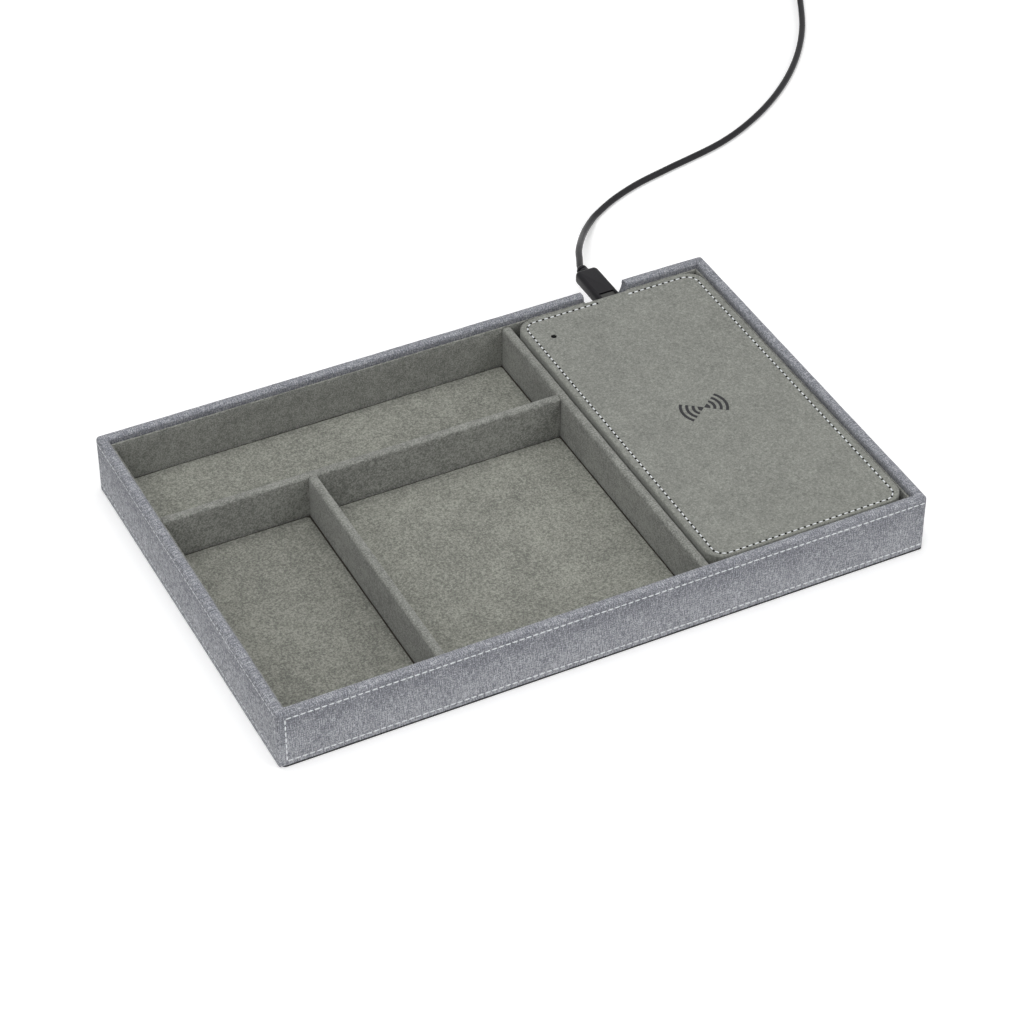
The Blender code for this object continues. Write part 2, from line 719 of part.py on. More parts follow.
def make_usb_c_plug():
    """The grip with its short strain relief stub, and the steel shell that goes into the port."""
    body = bar("usb_c_overmould", plug_outline(PLUG_WIDTH, PLUG_HEIGHT, PLUG_ROUND), plug_y0, plug_y1)
    overmould = add("usb_c_overmould", body, "plug", "lead_origin")
    bm = bmesh.new()
    bmesh.ops.create_cone(
        bm,
        cap_ends=True,
        segments=SMALL_CIRCLE_STEPS,
        radius1=STUB_RADIUS,
        radius2=STUB_TIP_RADIUS,
        depth=2 * STUB_LENGTH,
        matrix=Matrix.Translation((port_x, plug_y1, port_z)) @ Matrix.Rotation(-math.pi / 2, 4, "X"),
    )
    combine(overmould, cutter("cord_stub", mesh_from(bm, "cord_stub")), "UNION")

    y1 = plug_y0 - GAP
    y0 = y1 - PLUG_SHELL_LENGTH
    outline = plug_outline(PLUG_SHELL_WIDTH, PLUG_SHELL_HEIGHT, PLUG_SHELL_HEIGHT / 2)
    shell = add("usb_c_shell", bar("usb_c_shell", outline, y0, y1), "steel", "lead_origin")
    width = PLUG_SHELL_WIDTH - 2 * PLUG_SHELL_WALL
    height = PLUG_SHELL_HEIGHT - 2 * PLUG_SHELL_WALL
    bore = bar("plug_bore", plug_outline(width, height, height / 2), y0 - OVERRUN, y1 - PLUG_SHELL_WALL)
    combine(shell, cutter("plug_bore", bore))


def coil_turns():
    return WHOLE_TURNS + (EXIT_ANGLE - ENTRY_ANGLE) / math.tau


def coil_points():
    """The wound stretch: inwards along the table, up one layer, and outwards again on top."""
    turns = coil_turns()
    low = TIE_THICKNESS + GAP + CORD_DIAMETER / 2
    inner = TURNS_MIDDLE_RADIUS - TURN_PITCH * turns / 4
    count = round(turns * TURN_POINTS)
    points = []
    for step in range(count + 1):
        turn = turns * step / count
        after_middle = turn - turns / 2
        radius = inner + TURN_PITCH * abs(after_middle)
        height = low + TURN_PITCH * smooth_step(after_middle / CLIMB_SHARE + 1 / 2)
        angle = ENTRY_ANGLE + math.tau * turn
        x = TURN_CENTRE_X + radius * math.cos(angle)
        y = TURN_CENTRE_Y + radius * math.sin(angle)
        points.append(Vector((x, y, height)))
    return points


def entry_heading():
    return Vector((-math.sin(ENTRY_ANGLE), math.cos(ENTRY_ANGLE), 0))


def exit_heading():
    return Vector((-math.sin(EXIT_ANGLE), math.cos(EXIT_ANGLE), 0))


def wound_points():
    """The coil with its straight lead-in and the tail that comes down to the far plug's height."""
    coil = coil_points()
    first = coil[0] - CORD_DIAMETER * entry_heading()
    tail = []
    for step in range(1, TAIL_POINTS + 1):
        share = step / TAIL_POINTS
        drop = (coil[-1].z - USB_A_HEIGHT / 2) * smooth_step(share / TAIL_LEVEL_SHARE)
        tail.append(coil[-1] + TAIL_LENGTH * share * exit_heading() - Vector((0, 0, drop)))
    return [first] + coil + tail


def catmull_rom(before, start, end, after, share):
    """A place on the smooth curve between start and end."""
    square = share * share
    cube = square * share
    return (
        start * 2
        + (end - before) * share
        + (before * 2 - start * 5 + end * 4 - after) * square
        + (start * 3 - before - end * 3 + after) * cube
    ) / 2


def spaced_points(points, spacing):
    """Points at an even spacing on the smooth curve from the second point to the last but one."""
    fine = []
    for before, start, end, after in zip(points, points[1:], points[2:], points[3:]):
        shares = [part / CURVE_PARTS for part in range(CURVE_PARTS)]
        fine += [catmull_rom(before, start, end, after, share) for share in shares]
    fine.append(points[-2])
    lengths = [(b - a).length for a, b in zip(fine, fine[1:])]
    total = sum(lengths)
    count = max(round(total / spacing), 2)
    even = [fine[0]]
    travelled = 0
    for start, end, length in zip(fine, fine[1:], lengths):
        while len(even) < count and travelled + length >= total * len(even) / count:
            share = (total * len(even) / count - travelled) / length
            even.append(start.lerp(end, share))
        travelled += length
    return even + [fine[-1]]


def free_points():
    """The stretch from the plug's tip to the coil, straight for one diameter at both ends."""
    start = Vector((port_x, stub_y1 + GAP, port_z))
    after_start = start + Vector((0, CORD_DIAMETER, 0))
    entry = wound_points()[0] - GAP * entry_heading()
    before_entry = entry - CORD_DIAMETER * entry_heading()
    route = [Vector(point) for point in CORD_ROUTE]
    smooth = spaced_points([start, after_start] + route + [before_entry, entry], CORD_STEP)
    return [start] + smooth + [entry]


def make_tube(name, points, bevel_steps):
    curve = bpy.data.curves.new(name, "CURVE")
    curve.dimensions = "3D"
    curve.bevel_depth = CORD_DIAMETER / 2
    curve.bevel_resolution = bevel_steps
    curve.use_fill_caps = True
    spline = curve.splines.new("POLY")
    spline.points.add(len(points) - 1)
    for target, point in zip(spline.points, points):
        target.co = (*point, 1)
    add(name, curve, "cord", "lead_origin")


def least_gap(points):
    """The narrowest space between stretches of the wound cord that aren't neighbours along it."""
    closest = min(
        (points[i] - points[j]).length
        for i in range(len(points))
        for j in range(i + NEIGHBOUR_POINTS, len(points))
    )
    return closest - CORD_DIAMETER


def make_lead():
    free = free_points()
    wound = wound_points()
    make_tube("cord", free, FREE_CORD_BEVEL_STEPS)
    make_tube("cord_coil", wound, COIL_BEVEL_STEPS)
    length = sum((b - a).length for line in (free, wound) for a, b in zip(line, line[1:]))
    gap = least_gap(spaced_points(wound, CORD_DIAMETER / 3))
    print(f"lead {length:.4f} m, least gap between the coil's turns {gap:.5f} m")


def make_tie():
    """A strap round the bundle of turns, standing on the table."""
    centre = Vector((TURN_CENTRE_X, TURN_CENTRE_Y, 0))
    outwards = Vector((math.cos(TIE_ANGLE), math.sin(TIE_ANGLE), 0))
    along = Vector((-math.sin(TIE_ANGLE), math.cos(TIE_ANGLE), 0))
    reach = TIE_WIDTH / 2 + CORD_DIAMETER
    under = [point - centre for point in coil_points() if (point - centre).dot(outwards) > 0]
    under = [offset for offset in under if abs(offset.dot(along)) < reach]
    spread = CORD_DIAMETER / 2 + GAP
    low = min(offset.dot(outwards) for offset in under) - spread
    high = max(offset.dot(outwards) for offset in under) + spread
    top = max(offset.z for offset in under) + spread
    t = TIE_THICKNESS
    outer = rounded_outline(low - t, high + t, 0, top + t, TIE_ROUND)
    inner = rounded_outline(low, high, t, top, TIE_ROUND - t)

    def placed(outline, side):
        shift = centre - side * along
        return [shift + outwards * across + Vector((0, 0, z)) for across, z in outline]

    strap = prism("cord_tie", placed(outer, TIE_WIDTH / 2), along * TIE_WIDTH)
    tie = add("cord_tie", strap, "rubber", "lead_origin")
    cut = TIE_WIDTH / 2 + OVERRUN
    combine(tie, cutter("tie_space", prism("tie_space", placed(inner, cut), 2 * cut * along)))


def make_usb_a_plug():
    end = wound_points()[-1] + GAP * exit_heading()
    heading = math.atan2(exit_heading().y, exit_heading().x) - math.pi / 2
    place = Matrix.Translation((end.x, end.y, USB_A_HEIGHT / 2)) @ Matrix.Rotation(heading, 4, "Z")

    def laid(mesh):
        mesh.transform(place)
        return mesh

    half_x = USB_A_WIDTH / 2
    half_z = USB_A_HEIGHT / 2
    outline = rounded_outline(-half_x, half_x, -half_z, half_z, USB_A_ROUND)
    body = laid(bar("usb_a_overmould", outline, 0, USB_A_LENGTH))
    add("usb_a_overmould", body, "plug", "lead_origin")

    start = USB_A_LENGTH + GAP
    finish = start + USB_A_SHELL_LENGTH
    half_x = USB_A_SHELL_WIDTH / 2
    half_z = USB_A_SHELL_HEIGHT / 2
    shell = laid(block("usb_a_shell", -half_x, half_x, start, finish, -half_z, half_z))
    steel = add("usb_a_shell", shell, "steel", "lead_origin")
    room_x = half_x - USB_A_SHELL_WALL
    room_z = half_z - USB_A_SHELL_WALL
    room_start = start + USB_A_SHELL_WALL
    room = laid(block("usb_a_room", -room_x, room_x, room_start, finish + OVERRUN, -room_z, room_z))
    combine(steel, cutter("usb_a_room", room))
    tongue_x = room_x - GAP
    tongue_top = room_z - GAP
    tongue_start = room_start + GAP
    tongue = block(
        "usb_a_tongue",
        -tongue_x,
        tongue_x,
        tongue_start,
        tongue_start + USB_A_TONGUE_LENGTH,
        tongue_top - USB_A_TONGUE_HEIGHT,
        tongue_top,
    )
    add("usb_a_tongue", laid(tongue), "contact_white", "lead_origin")


def main():
    clear_scene()
    make_materials()
    make_origin("pad_origin", (pad_x, pad_y, pad_bottom))
    make_origin("lead_origin", (port_x, plug_y0, port_z))
    make_tray_base()
    make_walls()
    make_cover()
    make_linings()
    make_dividers_and_floors()
    make_riser()
    opening = port_cutter()
    light_hole = light_hole_cutter()
    make_pad_cover(opening, light_hole)
    make_pad_upper_shell(opening, light_hole)
    make_pad_lower_shell()
    make_pad_fasteners()
    make_pad_electronics()
    make_socket()
    make_usb_c_plug()
    make_lead()
    make_tie()
    make_usb_a_plug()


main()
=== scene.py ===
"""Looks for the fabric covered valet tray with its wireless charging pad and USB lead.

Metres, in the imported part's own frame: +X right, the front wall faces -Y, the table is at Z 0.
"""

from math import atan2, cos, pi, radians, sin, tau

import bmesh
import bpy
from mathutils import Matrix, Vector, noise


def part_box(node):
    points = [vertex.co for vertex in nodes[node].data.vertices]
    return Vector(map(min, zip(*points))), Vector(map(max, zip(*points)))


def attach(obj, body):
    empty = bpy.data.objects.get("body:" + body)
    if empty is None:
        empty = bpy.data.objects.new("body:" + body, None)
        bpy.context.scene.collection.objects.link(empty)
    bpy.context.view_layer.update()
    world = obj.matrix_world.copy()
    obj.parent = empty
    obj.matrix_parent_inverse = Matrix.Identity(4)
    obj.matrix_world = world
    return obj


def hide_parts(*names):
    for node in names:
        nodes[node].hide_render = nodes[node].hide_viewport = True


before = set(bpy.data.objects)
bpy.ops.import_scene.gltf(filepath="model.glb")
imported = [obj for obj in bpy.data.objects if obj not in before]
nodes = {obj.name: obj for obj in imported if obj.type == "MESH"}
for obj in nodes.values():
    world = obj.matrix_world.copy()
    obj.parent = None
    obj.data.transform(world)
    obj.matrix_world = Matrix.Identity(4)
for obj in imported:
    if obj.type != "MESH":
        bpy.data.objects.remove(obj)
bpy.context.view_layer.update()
scene = bpy.context.scene
X, Y, Z = Vector((1, 0, 0)), Vector((0, 1, 0)), Vector((0, 0, 1))


def linked(name, data):
    """A new object in the scene."""
    made = bpy.data.objects.new(name, data)
    scene.collection.objects.link(made)
    return made


def as_mesh(bm, name):
    """A working shape's mesh. The shape itself is freed."""
    mesh = bpy.data.meshes.new(name)
    bm.to_mesh(mesh)
    bm.free()
    return mesh


# -------- camera


CAMERA_TURN, CAMERA_HEIGHT = radians(-26.69981), radians(39.94396)
CAMERA_AIM = Vector((0.00358, 0.00221, 0))
CAMERA_DISTANCE = 1.42044
SENSOR_WIDTH = 36
FOCAL_LENGTH, PICTURE_WIDTH = 3271.618, 1024  # in the photograph's pixels


def make_camera():
    """Seen from the front left, above the tray, as in the photograph."""
    level = cos(CAMERA_HEIGHT)
    back = Vector((sin(CAMERA_TURN) * level, -cos(CAMERA_TURN) * level, sin(CAMERA_HEIGHT)))
    data = bpy.data.cameras.new("camera")
    data.sensor_width = SENSOR_WIDTH
    data.lens = FOCAL_LENGTH / PICTURE_WIDTH * SENSOR_WIDTH
    camera = linked("camera", data)
    camera.location = CAMERA_AIM + CAMERA_DISTANCE * back
    camera.rotation_euler = (-back).to_track_quat("-Z", "Y").to_euler()
    scene.camera = camera


# -------- finishes


class Wire:
    """A socket in a finish. Python's operators on it add Math nodes."""

    def __init__(self, finish, socket):
        self.finish = finish
        self.socket = socket

    def math(self, operation, *values):
        return self.finish.node("ShaderNodeMath", {"operation": operation}, dict(enumerate(values)))

    def __add__(self, other):
        return self.math("ADD", self, other)

    def __radd__(self, other):
        return self.math("ADD", other, self)

    def __sub__(self, other):
        return self.math("SUBTRACT", self, other)

    def __rsub__(self, other):
        return self.math("SUBTRACT", other, self)

    def __mul__(self, other):
        return self.math("MULTIPLY", self, other)

    def __gt__(self, other):
        return self.math("GREATER_THAN", self, other)

    def __lt__(self, other):
        return self.math("LESS_THAN", self, other)

    def wave(self):
        return self.math("SINE", self)


class Finish:
    """A procedural material. Plain values are set on its shader's own sockets."""

    def __init__(self, name, **plain):
        self.material = bpy.data.materials.new(name)
        self.material.use_nodes = True
        self.tree = self.material.node_tree
        self.shader = self.tree.nodes["Principled BSDF"]
        for word, value in plain.items():
            self.shader.inputs[word.replace("_", " ")].default_value = value

    def join(self, socket, value):
        if isinstance(value, Wire):
            self.tree.links.new(value.socket, socket)
        else:
            socket.default_value = value

    def node(self, kind, settings, sockets, output=0):
        node = self.tree.nodes.new(kind)
        for setting, value in settings.items():
            if setting == "stops":
                ramp = node.color_ramp.elements
                while len(ramp) < len(value):
                    ramp.new(1)
                for stop, (place, colour) in zip(ramp, value):
                    stop.position, stop.color = place, (*colour, 1)
            else:
                setattr(node, setting, value)
        for socket, value in sockets.items():
            self.join(node.inputs[socket], value)
        return Wire(self, node.outputs[output])

    def place(self, stretch=(1, 1, 1), centre=(0, 0, 0)):
        """Object coordinates about a centre, stretched."""
        seen = self.node("ShaderNodeTexCoord", {}, {}, "Object")
        back = [-value for value in centre]
        moved = self.node("ShaderNodeMapping", {}, {"Vector": seen, "Location": back})
        return self.node("ShaderNodeMapping", {}, {"Vector": moved, "Scale": stretch})

    def cloth(self, stretch=(1, 1, 1)):
        """The weave's own map: along the wall, and across it."""
        laid = self.node("ShaderNodeUVMap", {"uv_map": "cloth"}, {})
        return self.node("ShaderNodeMapping", {}, {"Vector": laid, "Scale": stretch})

    def noise(self, scale, detail=2.0, rough=0.5, place=None):
        sockets = {"Scale": scale, "Detail": detail, "Roughness": rough}
        return self.node("ShaderNodeTexNoise", {}, {"Vector": place or self.place(), **sockets})

    def cells(self, scale, **settings):
        return self.node("ShaderNodeTexVoronoi", settings, {"Vector": self.place(), "Scale": scale})

    def parts(self, place):
        return [self.node("ShaderNodeSeparateXYZ", {}, {0: place}, number) for number in range(3)]

    def mixed(self, share, first, second):
        first, second = [c if isinstance(c, Wire) else (*c, 1) for c in (first, second)]
        return self.node("ShaderNodeMix", {"data_type": "RGBA"}, {0: share, 6: first, 7: second}, 2)

    def ramp(self, share, *stops):
        return self.node("ShaderNodeValToRGB", {"stops": stops}, {0: share})

    def dress(self, colour=None, rough=None, height=None, strength=0.5, depth=0.0002):
        """Join what changes over the surface: its colour, its roughness and its relief."""
        if colour:
            self.join(self.shader.inputs["Base Color"], colour)
        if rough:
            self.join(self.shader.inputs["Roughness"], rough)
        if height:
            sockets = {"Height": height, "Strength": strength, "Distance": depth}
            self.join(self.shader.inputs["Normal"], self.node("ShaderNodeBump", {}, sockets))
        return self.material


def shade(colour, factor):
    return tuple(value * factor for value in colour)


def greys(*stops):
    """Ramp stops of a place and a grey."""
    return [(place, (grey,) * 3) for place, grey in stops]


WEAVE_TURN, WIRE_TURN = 12600, 7850  # radians in a metre, of the weave's wave and the wound wire's
# Painted light and shade up the walls, by height: lighter at the foot, darker under the rim,
# lighter on top
PAINTED_LIGHT_UP_THE_WALL = (0.0, 0.73), (0.30, 0.67), (0.60, 0.40), (0.78, 0.06), (0.955, 0.08), (1.0, 0.34)


def heather_linen():
    """Woven cloth of dark and pale grey-blue threads, with slubs along the upright ones.

    Painted light and shade by height: darker under the rim, lighter at its top and at the foot.
    The left wall's cloth has a coarser speckle.
    """
    linen = Finish("heather_linen", Sheen_Weight=0.12, Sheen_Roughness=0.5)
    upright = linen.noise(1, 3.0, 0.6, linen.cloth((2500, 260, 1)))
    level = linen.noise(1, 2.0, place=linen.cloth((360, 2300, 1)))
    speck = linen.noise(1, 2.0, 0.7, linen.cloth((1900, 1500, 1)))
    cloud = linen.noise(1, 2.0, place=linen.cloth((90, 60, 1)))
    # Painted light and shade by height up the walls
    painted_light_by_height = linen.ramp(linen.parts(linen.place((1, 1, 1 / RIM)))[2], *greys(*PAINTED_LIGHT_UP_THE_WALL))
    left_face = linen.parts(linen.place())[0] < tray_low.x + NEAR_FACE
    swirl = linen.noise(1050, 3.0, 0.6)
    tone = 0.5 + (upright - 0.5) * 1.8 + (level - 0.5) * 1.0 + (speck - 0.5) * 2.1
    tone = tone + (cloud - 0.5) * 0.35 + (painted_light_by_height - 0.5) * 0.34 + (swirl - 0.5) * left_face * 2.2
    dark, plain, pale = (0.128, 0.135, 0.158), (0.280, 0.288, 0.318), (0.570, 0.580, 0.612)
    colour = linen.ramp(tone, (0.12, dark), (0.50, plain), (0.90, pale))
    along, across, _ = linen.parts(linen.cloth((WEAVE_TURN, WEAVE_TURN, 1)))
    weave = along.wave() * across.wave()
    height = weave * 0.35 + upright * 1.2 + level * 0.6
    return linen.dress(colour, 0.82 + (speck - 0.5) * 0.2, height, 0.55, 0.00025)


def suede(name, colour, contrast):
    """Short brushed nap: fine grain, with soft patches where the nap lies another way."""
    nap = Finish(name, Sheen_Weight=0.18, Sheen_Roughness=0.6)
    grain = nap.noise(1500, 3.0, 0.65)
    fleck = nap.noise(620, 2.0, 0.6)
    brushed = nap.noise(170, 3.0, 0.55, nap.place((1.0, 0.7, 1.0)))
    patch = nap.noise(36, 2.0)
    tone = (grain - 0.5) * 2.4 + (fleck - 0.5) * 0.9
    tone = 0.5 + (tone + (brushed - 0.5) * 0.5 + (patch - 0.5) * 0.35) * contrast
    dark, pale = shade(colour, 0.55), shade(colour, 1.55)
    colours = nap.ramp(tone, (0.05, dark), (0.50, colour), (0.95, pale))
    return nap.dress(colours, 0.90 + (fleck - 0.5) * 0.15, grain + brushed * 0.6, 0.45, 0.00025)


def thread():
    """Twisted white thread."""
    strand = Finish("white_thread", Sheen_Weight=0.2)
    fuzz = strand.noise(2600, 2.0)
    along, across, up = strand.parts(strand.place((6500, 6500, 6500)))
    twist = (along + across + up).wave()
    dark, pale = (0.25, (0.72, 0.74, 0.76)), (0.70, (0.90, 0.93, 0.95))
    colour = strand.ramp(fuzz + twist * 0.10, dark, pale)
    return strand.dress(colour, 0.70 + (fuzz - 0.5) * 0.3, twist, 0.35, 0.0001)


def moulded(name, colour, rough):
    """Moulded plastic with a fine spark-eroded grain and faint handling marks."""
    plastic = Finish(name, Specular_IOR_Level=0.16)
    grain = plastic.noise(2600, 3.0, 0.6)
    rub = plastic.noise(120, 3.0, 0.6, plastic.place((1, 1, 0.6)))
    colours = plastic.ramp(rub, (0.30, shade(colour, 0.88)), (0.72, shade(colour, 1.18)))
    roughness = rough + (rub - 0.5) * 0.22 + (grain - 0.5) * 0.08
    return plastic.dress(colours, roughness, grain, 0.4, 0.00004)


def brushed_steel():
    steel = Finish("brushed_steel", Metallic=1.0)
    lines = steel.noise(1, 2.0, place=steel.place((9000, 500, 9000)))
    wear = steel.noise(300, 3.0)
    dark, pale = (0.30, (0.33, 0.33, 0.325)), (0.70, (0.46, 0.46, 0.45))
    colour = steel.ramp(lines * 0.6 + wear * 0.4, dark, pale)
    rough = 0.24 + (wear - 0.5) * 0.25 + (lines - 0.5) * 0.1
    return steel.dress(colour, rough, lines, 0.15, 0.00003)


def pressed_board(name, light):
    """Pressed board with fibres and flecks."""
    board = Finish(name)
    fibre = board.noise(1, 3.0, place=board.place((900, 240, 900)))
    fleck = board.noise(1400, 2.0)
    tone = fibre * 0.7 + fleck * 0.3
    stops = (0.32, (0.20, 0.17, 0.125)), (0.50, (0.30, 0.26, 0.20)), (0.68, (0.42, 0.37, 0.29))
    colour = board.ramp(tone, *[(place, shade(brown, light)) for place, brown in stops])
    return board.dress(colour, 0.86 + (fleck - 0.5) * 0.15, fibre, 0.4, 0.00015)


def pebbled_sheet():
    """Black sheet with a fine leather-like grain."""
    sheet = Finish("pebbled_sheet")
    pebble = sheet.cells(1300, feature="DISTANCE_TO_EDGE")
    cloud = sheet.noise(90, 2.0)
    colour = sheet.ramp(cloud, (0.30, (0.013, 0.013, 0.014)), (0.70, (0.028, 0.028, 0.030)))
    return sheet.dress(colour, 0.78 + (cloud - 0.5) * 0.3, pebble, 0.5, 0.0002)


def circuit_board(centre):
    """Green solder mask over copper tracks, with tinned pads."""
    board = Finish("circuit_board")
    across = board.parts(board.place(centre=centre))[0]
    lane = board.noise(1, 0.0, place=board.place((160, 40, 1), centre))
    routed = board.noise(1, 0.0, place=board.place((60, 60, 1))) > 0.48
    track = ((across * 2500 + lane * 14).wave() > 0.55) * routed
    pad = board.cells(420) < 0.28
    green = board.mixed(track, (0.012, 0.085, 0.035), (0.030, 0.150, 0.060))
    colour = board.mixed(pad * track, green, (0.55, 0.55, 0.52))
    board.join(board.shader.inputs["Metallic"], pad * track)
    return board.dress(colour, 0.42 - track * 0.1, track, 0.3, 0.00005)


def wound_copper(centre):
    """Enamelled wire in a flat spiral."""
    copper = Finish("wound_copper")
    across, along, _ = copper.parts(copper.place(centre=centre))
    square = across * across + along * along
    wind = (square.math("SQRT", square) * WIRE_TURN).wave()
    tarnish = copper.noise(260, 3.0)
    dark, pale = (0.20, (0.26, 0.085, 0.035)), (0.75, (0.72, 0.33, 0.15))
    colour = copper.ramp(tarnish * 0.6 + wind * 0.25 + 0.2, dark, pale)
    copper.join(copper.shader.inputs["Metallic"], 0.85 + wind * 0.1)
    return copper.dress(colour, 0.34 + (tarnish - 0.5) * 0.2, wind, 0.6, 0.0002)


def mottled(name, grain, colours, rough, relief=(), marks=None, stretch=(1, 1, 1), **plain):
    """A finish with one noise for its relief, and marks, or the same noise, for the rest.

    Grain and marks are a noise's scale, detail and roughness. Rough is a middle value and a range.
    Relief is a strength and a depth.
    """
    finish = Finish(name, **plain)
    skin = finish.noise(*grain, place=finish.place(stretch))
    mottle = finish.noise(*marks) if marks else skin
    roughness = rough[0] + (mottle - 0.5) * rough[1]
    height = (skin, *relief) if relief else ()
    return finish.dress(finish.ramp(mottle, *colours), roughness, *height)


def rubber():
    colours = (0.35, (0.020, 0.020, 0.020)), (0.75, (0.045, 0.044, 0.042))
    relief, dust = (0.35, 0.00008), (220, 3.0)
    return mottled("black_rubber", (1700, 3.0), colours, (0.72, 0.3), relief, dust)


def ferrite():
    colours = (0.35, (0.030, 0.030, 0.032)), (0.70, (0.085, 0.085, 0.088))
    return mottled("ferrite", (2400, 3.0, 0.7), colours, (0.58, 0.3), (0.3, 0.00006))


def smoked_lens():
    colours = (0.35, (0.002, 0.002, 0.002)), (0.70, (0.005, 0.005, 0.006))
    grain, relief = (1900, 2.0), (0.1, 0.00002)
    return mottled("smoked_lens", grain, colours, (0.18, 0.2), relief, Specular_IOR_Level=0.05)


def white_insulator():
    colours = (0.30, (0.62, 0.62, 0.60)), (0.70, (0.74, 0.74, 0.72))
    return mottled("white_insulator", (900, 3.0), colours, (0.46, 0.2), (0.15, 0.00003))


def gold_contacts():
    """Gold plate, scuffed along the contacts."""
    colours = (0.30, (0.66, 0.46, 0.17)), (0.70, (0.86, 0.64, 0.28))
    grain, relief, lines = (1, 2.0), (0.1, 0.00002), (4000, 600, 4000)
    return mottled("gold_contacts", grain, colours, (0.22, 0.2), relief, None, lines, Metallic=1.0)


def pressed_mark():
    """The charging sign: suede pressed flat and darkened by heat."""
    colours = (0.25, (0.013, 0.013, 0.015)), (0.75, (0.040, 0.040, 0.043))
    grain, relief = (1700, 3.0, 0.65), (0.35, 0.0001)
    return mottled("pressed_mark", grain, colours, (0.62, 0.3), relief, Specular_IOR_Level=0.25)


# Near black, for the cones that paint the shade inside the needle holes: painted shade
def painted_hole_shade():
    colours = (0.30, (0.006, 0.006, 0.006)), (0.75, (0.022, 0.022, 0.020))
    return mottled("painted_hole_shade", (3000, 2.0), colours, (0.9, 0.1), Specular_IOR_Level=0.1)


def cord_jacket():
    """Soft matt jacket, faintly marked along its length."""
    colours = (0.30, (0.0090, 0.0086, 0.0104)), (0.72, (0.0160, 0.0154, 0.0182))
    skin, rough, relief, marks = (1500, 3.0), (0.42, 0.25), (0.25, 0.00005), (110, 3.0)
    return mottled("cord_jacket", skin, colours, rough, relief, marks, Specular_IOR_Level=0.2)


def hook_and_loop():
    """The tie's looped strap."""
    strap = Finish("hook_and_loop", Sheen_Weight=0.3)
    loops = strap.cells(1900)
    colour = strap.ramp(loops, (0.10, (0.016, 0.016, 0.017)), (0.80, (0.060, 0.060, 0.062)))
    return strap.dress(colour, 0.88 + (loops - 0.5) * 0.1, loops, 0.7, 0.0003)


# -------- mesh work


SNAP = 1e-5  # places this near are the same
SLIVER = 0.00003


def add_block(bm, centre, size):
    """Add a box by its centre and size, and give its edges."""
    fitted = Matrix.Translation(centre) @ Matrix.Diagonal((*size, 1))
    made = set(bmesh.ops.create_cube(bm, size=1, matrix=fitted)["verts"])
    return [edge for edge in bm.edges if edge.verts[0] in made]


def box_shape(low, high):
    bm = bmesh.new()
    low, high = Vector(low), Vector(high)
    add_block(bm, (low + high) / 2, high - low)
    return bm


def add_cone(bm, centre, radii, depth, segments):
    """Add an upright cone or cylinder by its middle. Its lower radius comes first."""
    bmesh.ops.create_cone(
        bm,
        cap_ends=True,
        segments=segments,
        radius1=radii[0],
        radius2=radii[1],
        depth=depth,
        matrix=Matrix.Translation(centre),
    )


def running(edge, direction):
    """Whether an edge runs along a direction."""
    step = edge.verts[1].co - edge.verts[0].co
    return abs(step.normalized().dot(direction)) > 0.999


def middle(item):
    return sum((vert.co for vert in item.verts), Vector()) / len(item.verts)


def corner_edges(bm, direction=Z):
    """A box's edges that run along a direction."""
    return [edge for edge in bm.edges if running(edge, direction)]


def top_edges(bm, height):
    """The edges that lie level at a height."""
    return [edge for edge in bm.edges if middle(edge).z > height - SNAP and not running(edge, Z)]


def rounded(bm, edges, radius, segments):
    """Round edges off. The material stays as it is."""
    kept = {"affect": "EDGES", "profile": 0.5, "material": -1}
    bmesh.ops.bevel(bm, geom=list(edges), offset=radius, segments=segments, **kept)


def dropped(bm, faces):
    bmesh.ops.delete(bm, geom=list(faces), context="FACES")


def facing(bm, direction, least=0.99):
    bm.normal_update()
    return [face for face in bm.faces if face.normal.dot(direction) > least]


def sliced(bm, direction, places):
    """Cut the mesh with planes across a direction, without parting it."""
    for place in places:
        whole = bm.verts[:] + bm.edges[:] + bm.faces[:]
        point = direction * place
        bmesh.ops.bisect_plane(bm, geom=whole, dist=1e-6, plane_co=point, plane_no=direction)


def steps_between(low, high, spacing):
    count = max(round((high - low) / spacing), 1)
    return [low + (high - low) * number / count for number in range(1, count)]


def gridded(bm, low, high, spacing):
    """Cut into a grid, so that it can be uneven, and merge the slivers beside corners."""
    for direction, bottom, top in zip((X, Y, Z), low, high):
        sliced(bm, direction, steps_between(bottom, top, spacing))
    bmesh.ops.remove_doubles(bm, verts=bm.verts, dist=SLIVER)


def uneven(bm, amount, wave):
    """The faint unevenness of cloth glued over a board."""
    bm.normal_update()
    shifts = [vert.normal * amount * noise.noise(vert.co / wave) for vert in bm.verts]
    for vert, shift in zip(bm.verts, shifts):
        vert.co += shift


def cut_away(bm, other):
    """Take one closed shape away from another."""
    pair = [linked("shape", as_mesh(shape, "shape")) for shape in (bm, other)]
    cut = pair[0].modifiers.new("cut", "BOOLEAN")
    cut.solver = "EXACT"
    cut.object = pair[1]
    result = bmesh.new()
    result.from_object(pair[0], bpy.context.evaluated_depsgraph_get())
    for spare in pair:
        bpy.data.objects.remove(spare)
    return result


def piece(name, bm, finish, body, slot, *nodes_replaced, sharp=40.0, skin=0.0):
    """A finished shape becomes a named piece on its body.

    Edges sharper than so many degrees stay sharp. Skin thickens an open sheet inwards.
    """
    bm.normal_update()
    for face in bm.faces:
        face.smooth = True
    for edge in bm.edges:
        edge.smooth = len(edge.link_faces) == 2 and edge.calc_face_angle() < radians(sharp)
    made = linked(name, as_mesh(bm, name))
    made.data.materials.append(finish)
    if skin:
        wall = made.modifiers.new("skin", "SOLIDIFY")
        wall.thickness = skin
        wall.offset = -1
    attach(made, body)
    if nodes_replaced:
        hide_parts(*nodes_replaced)
    return made


# -------- sizes, in metres

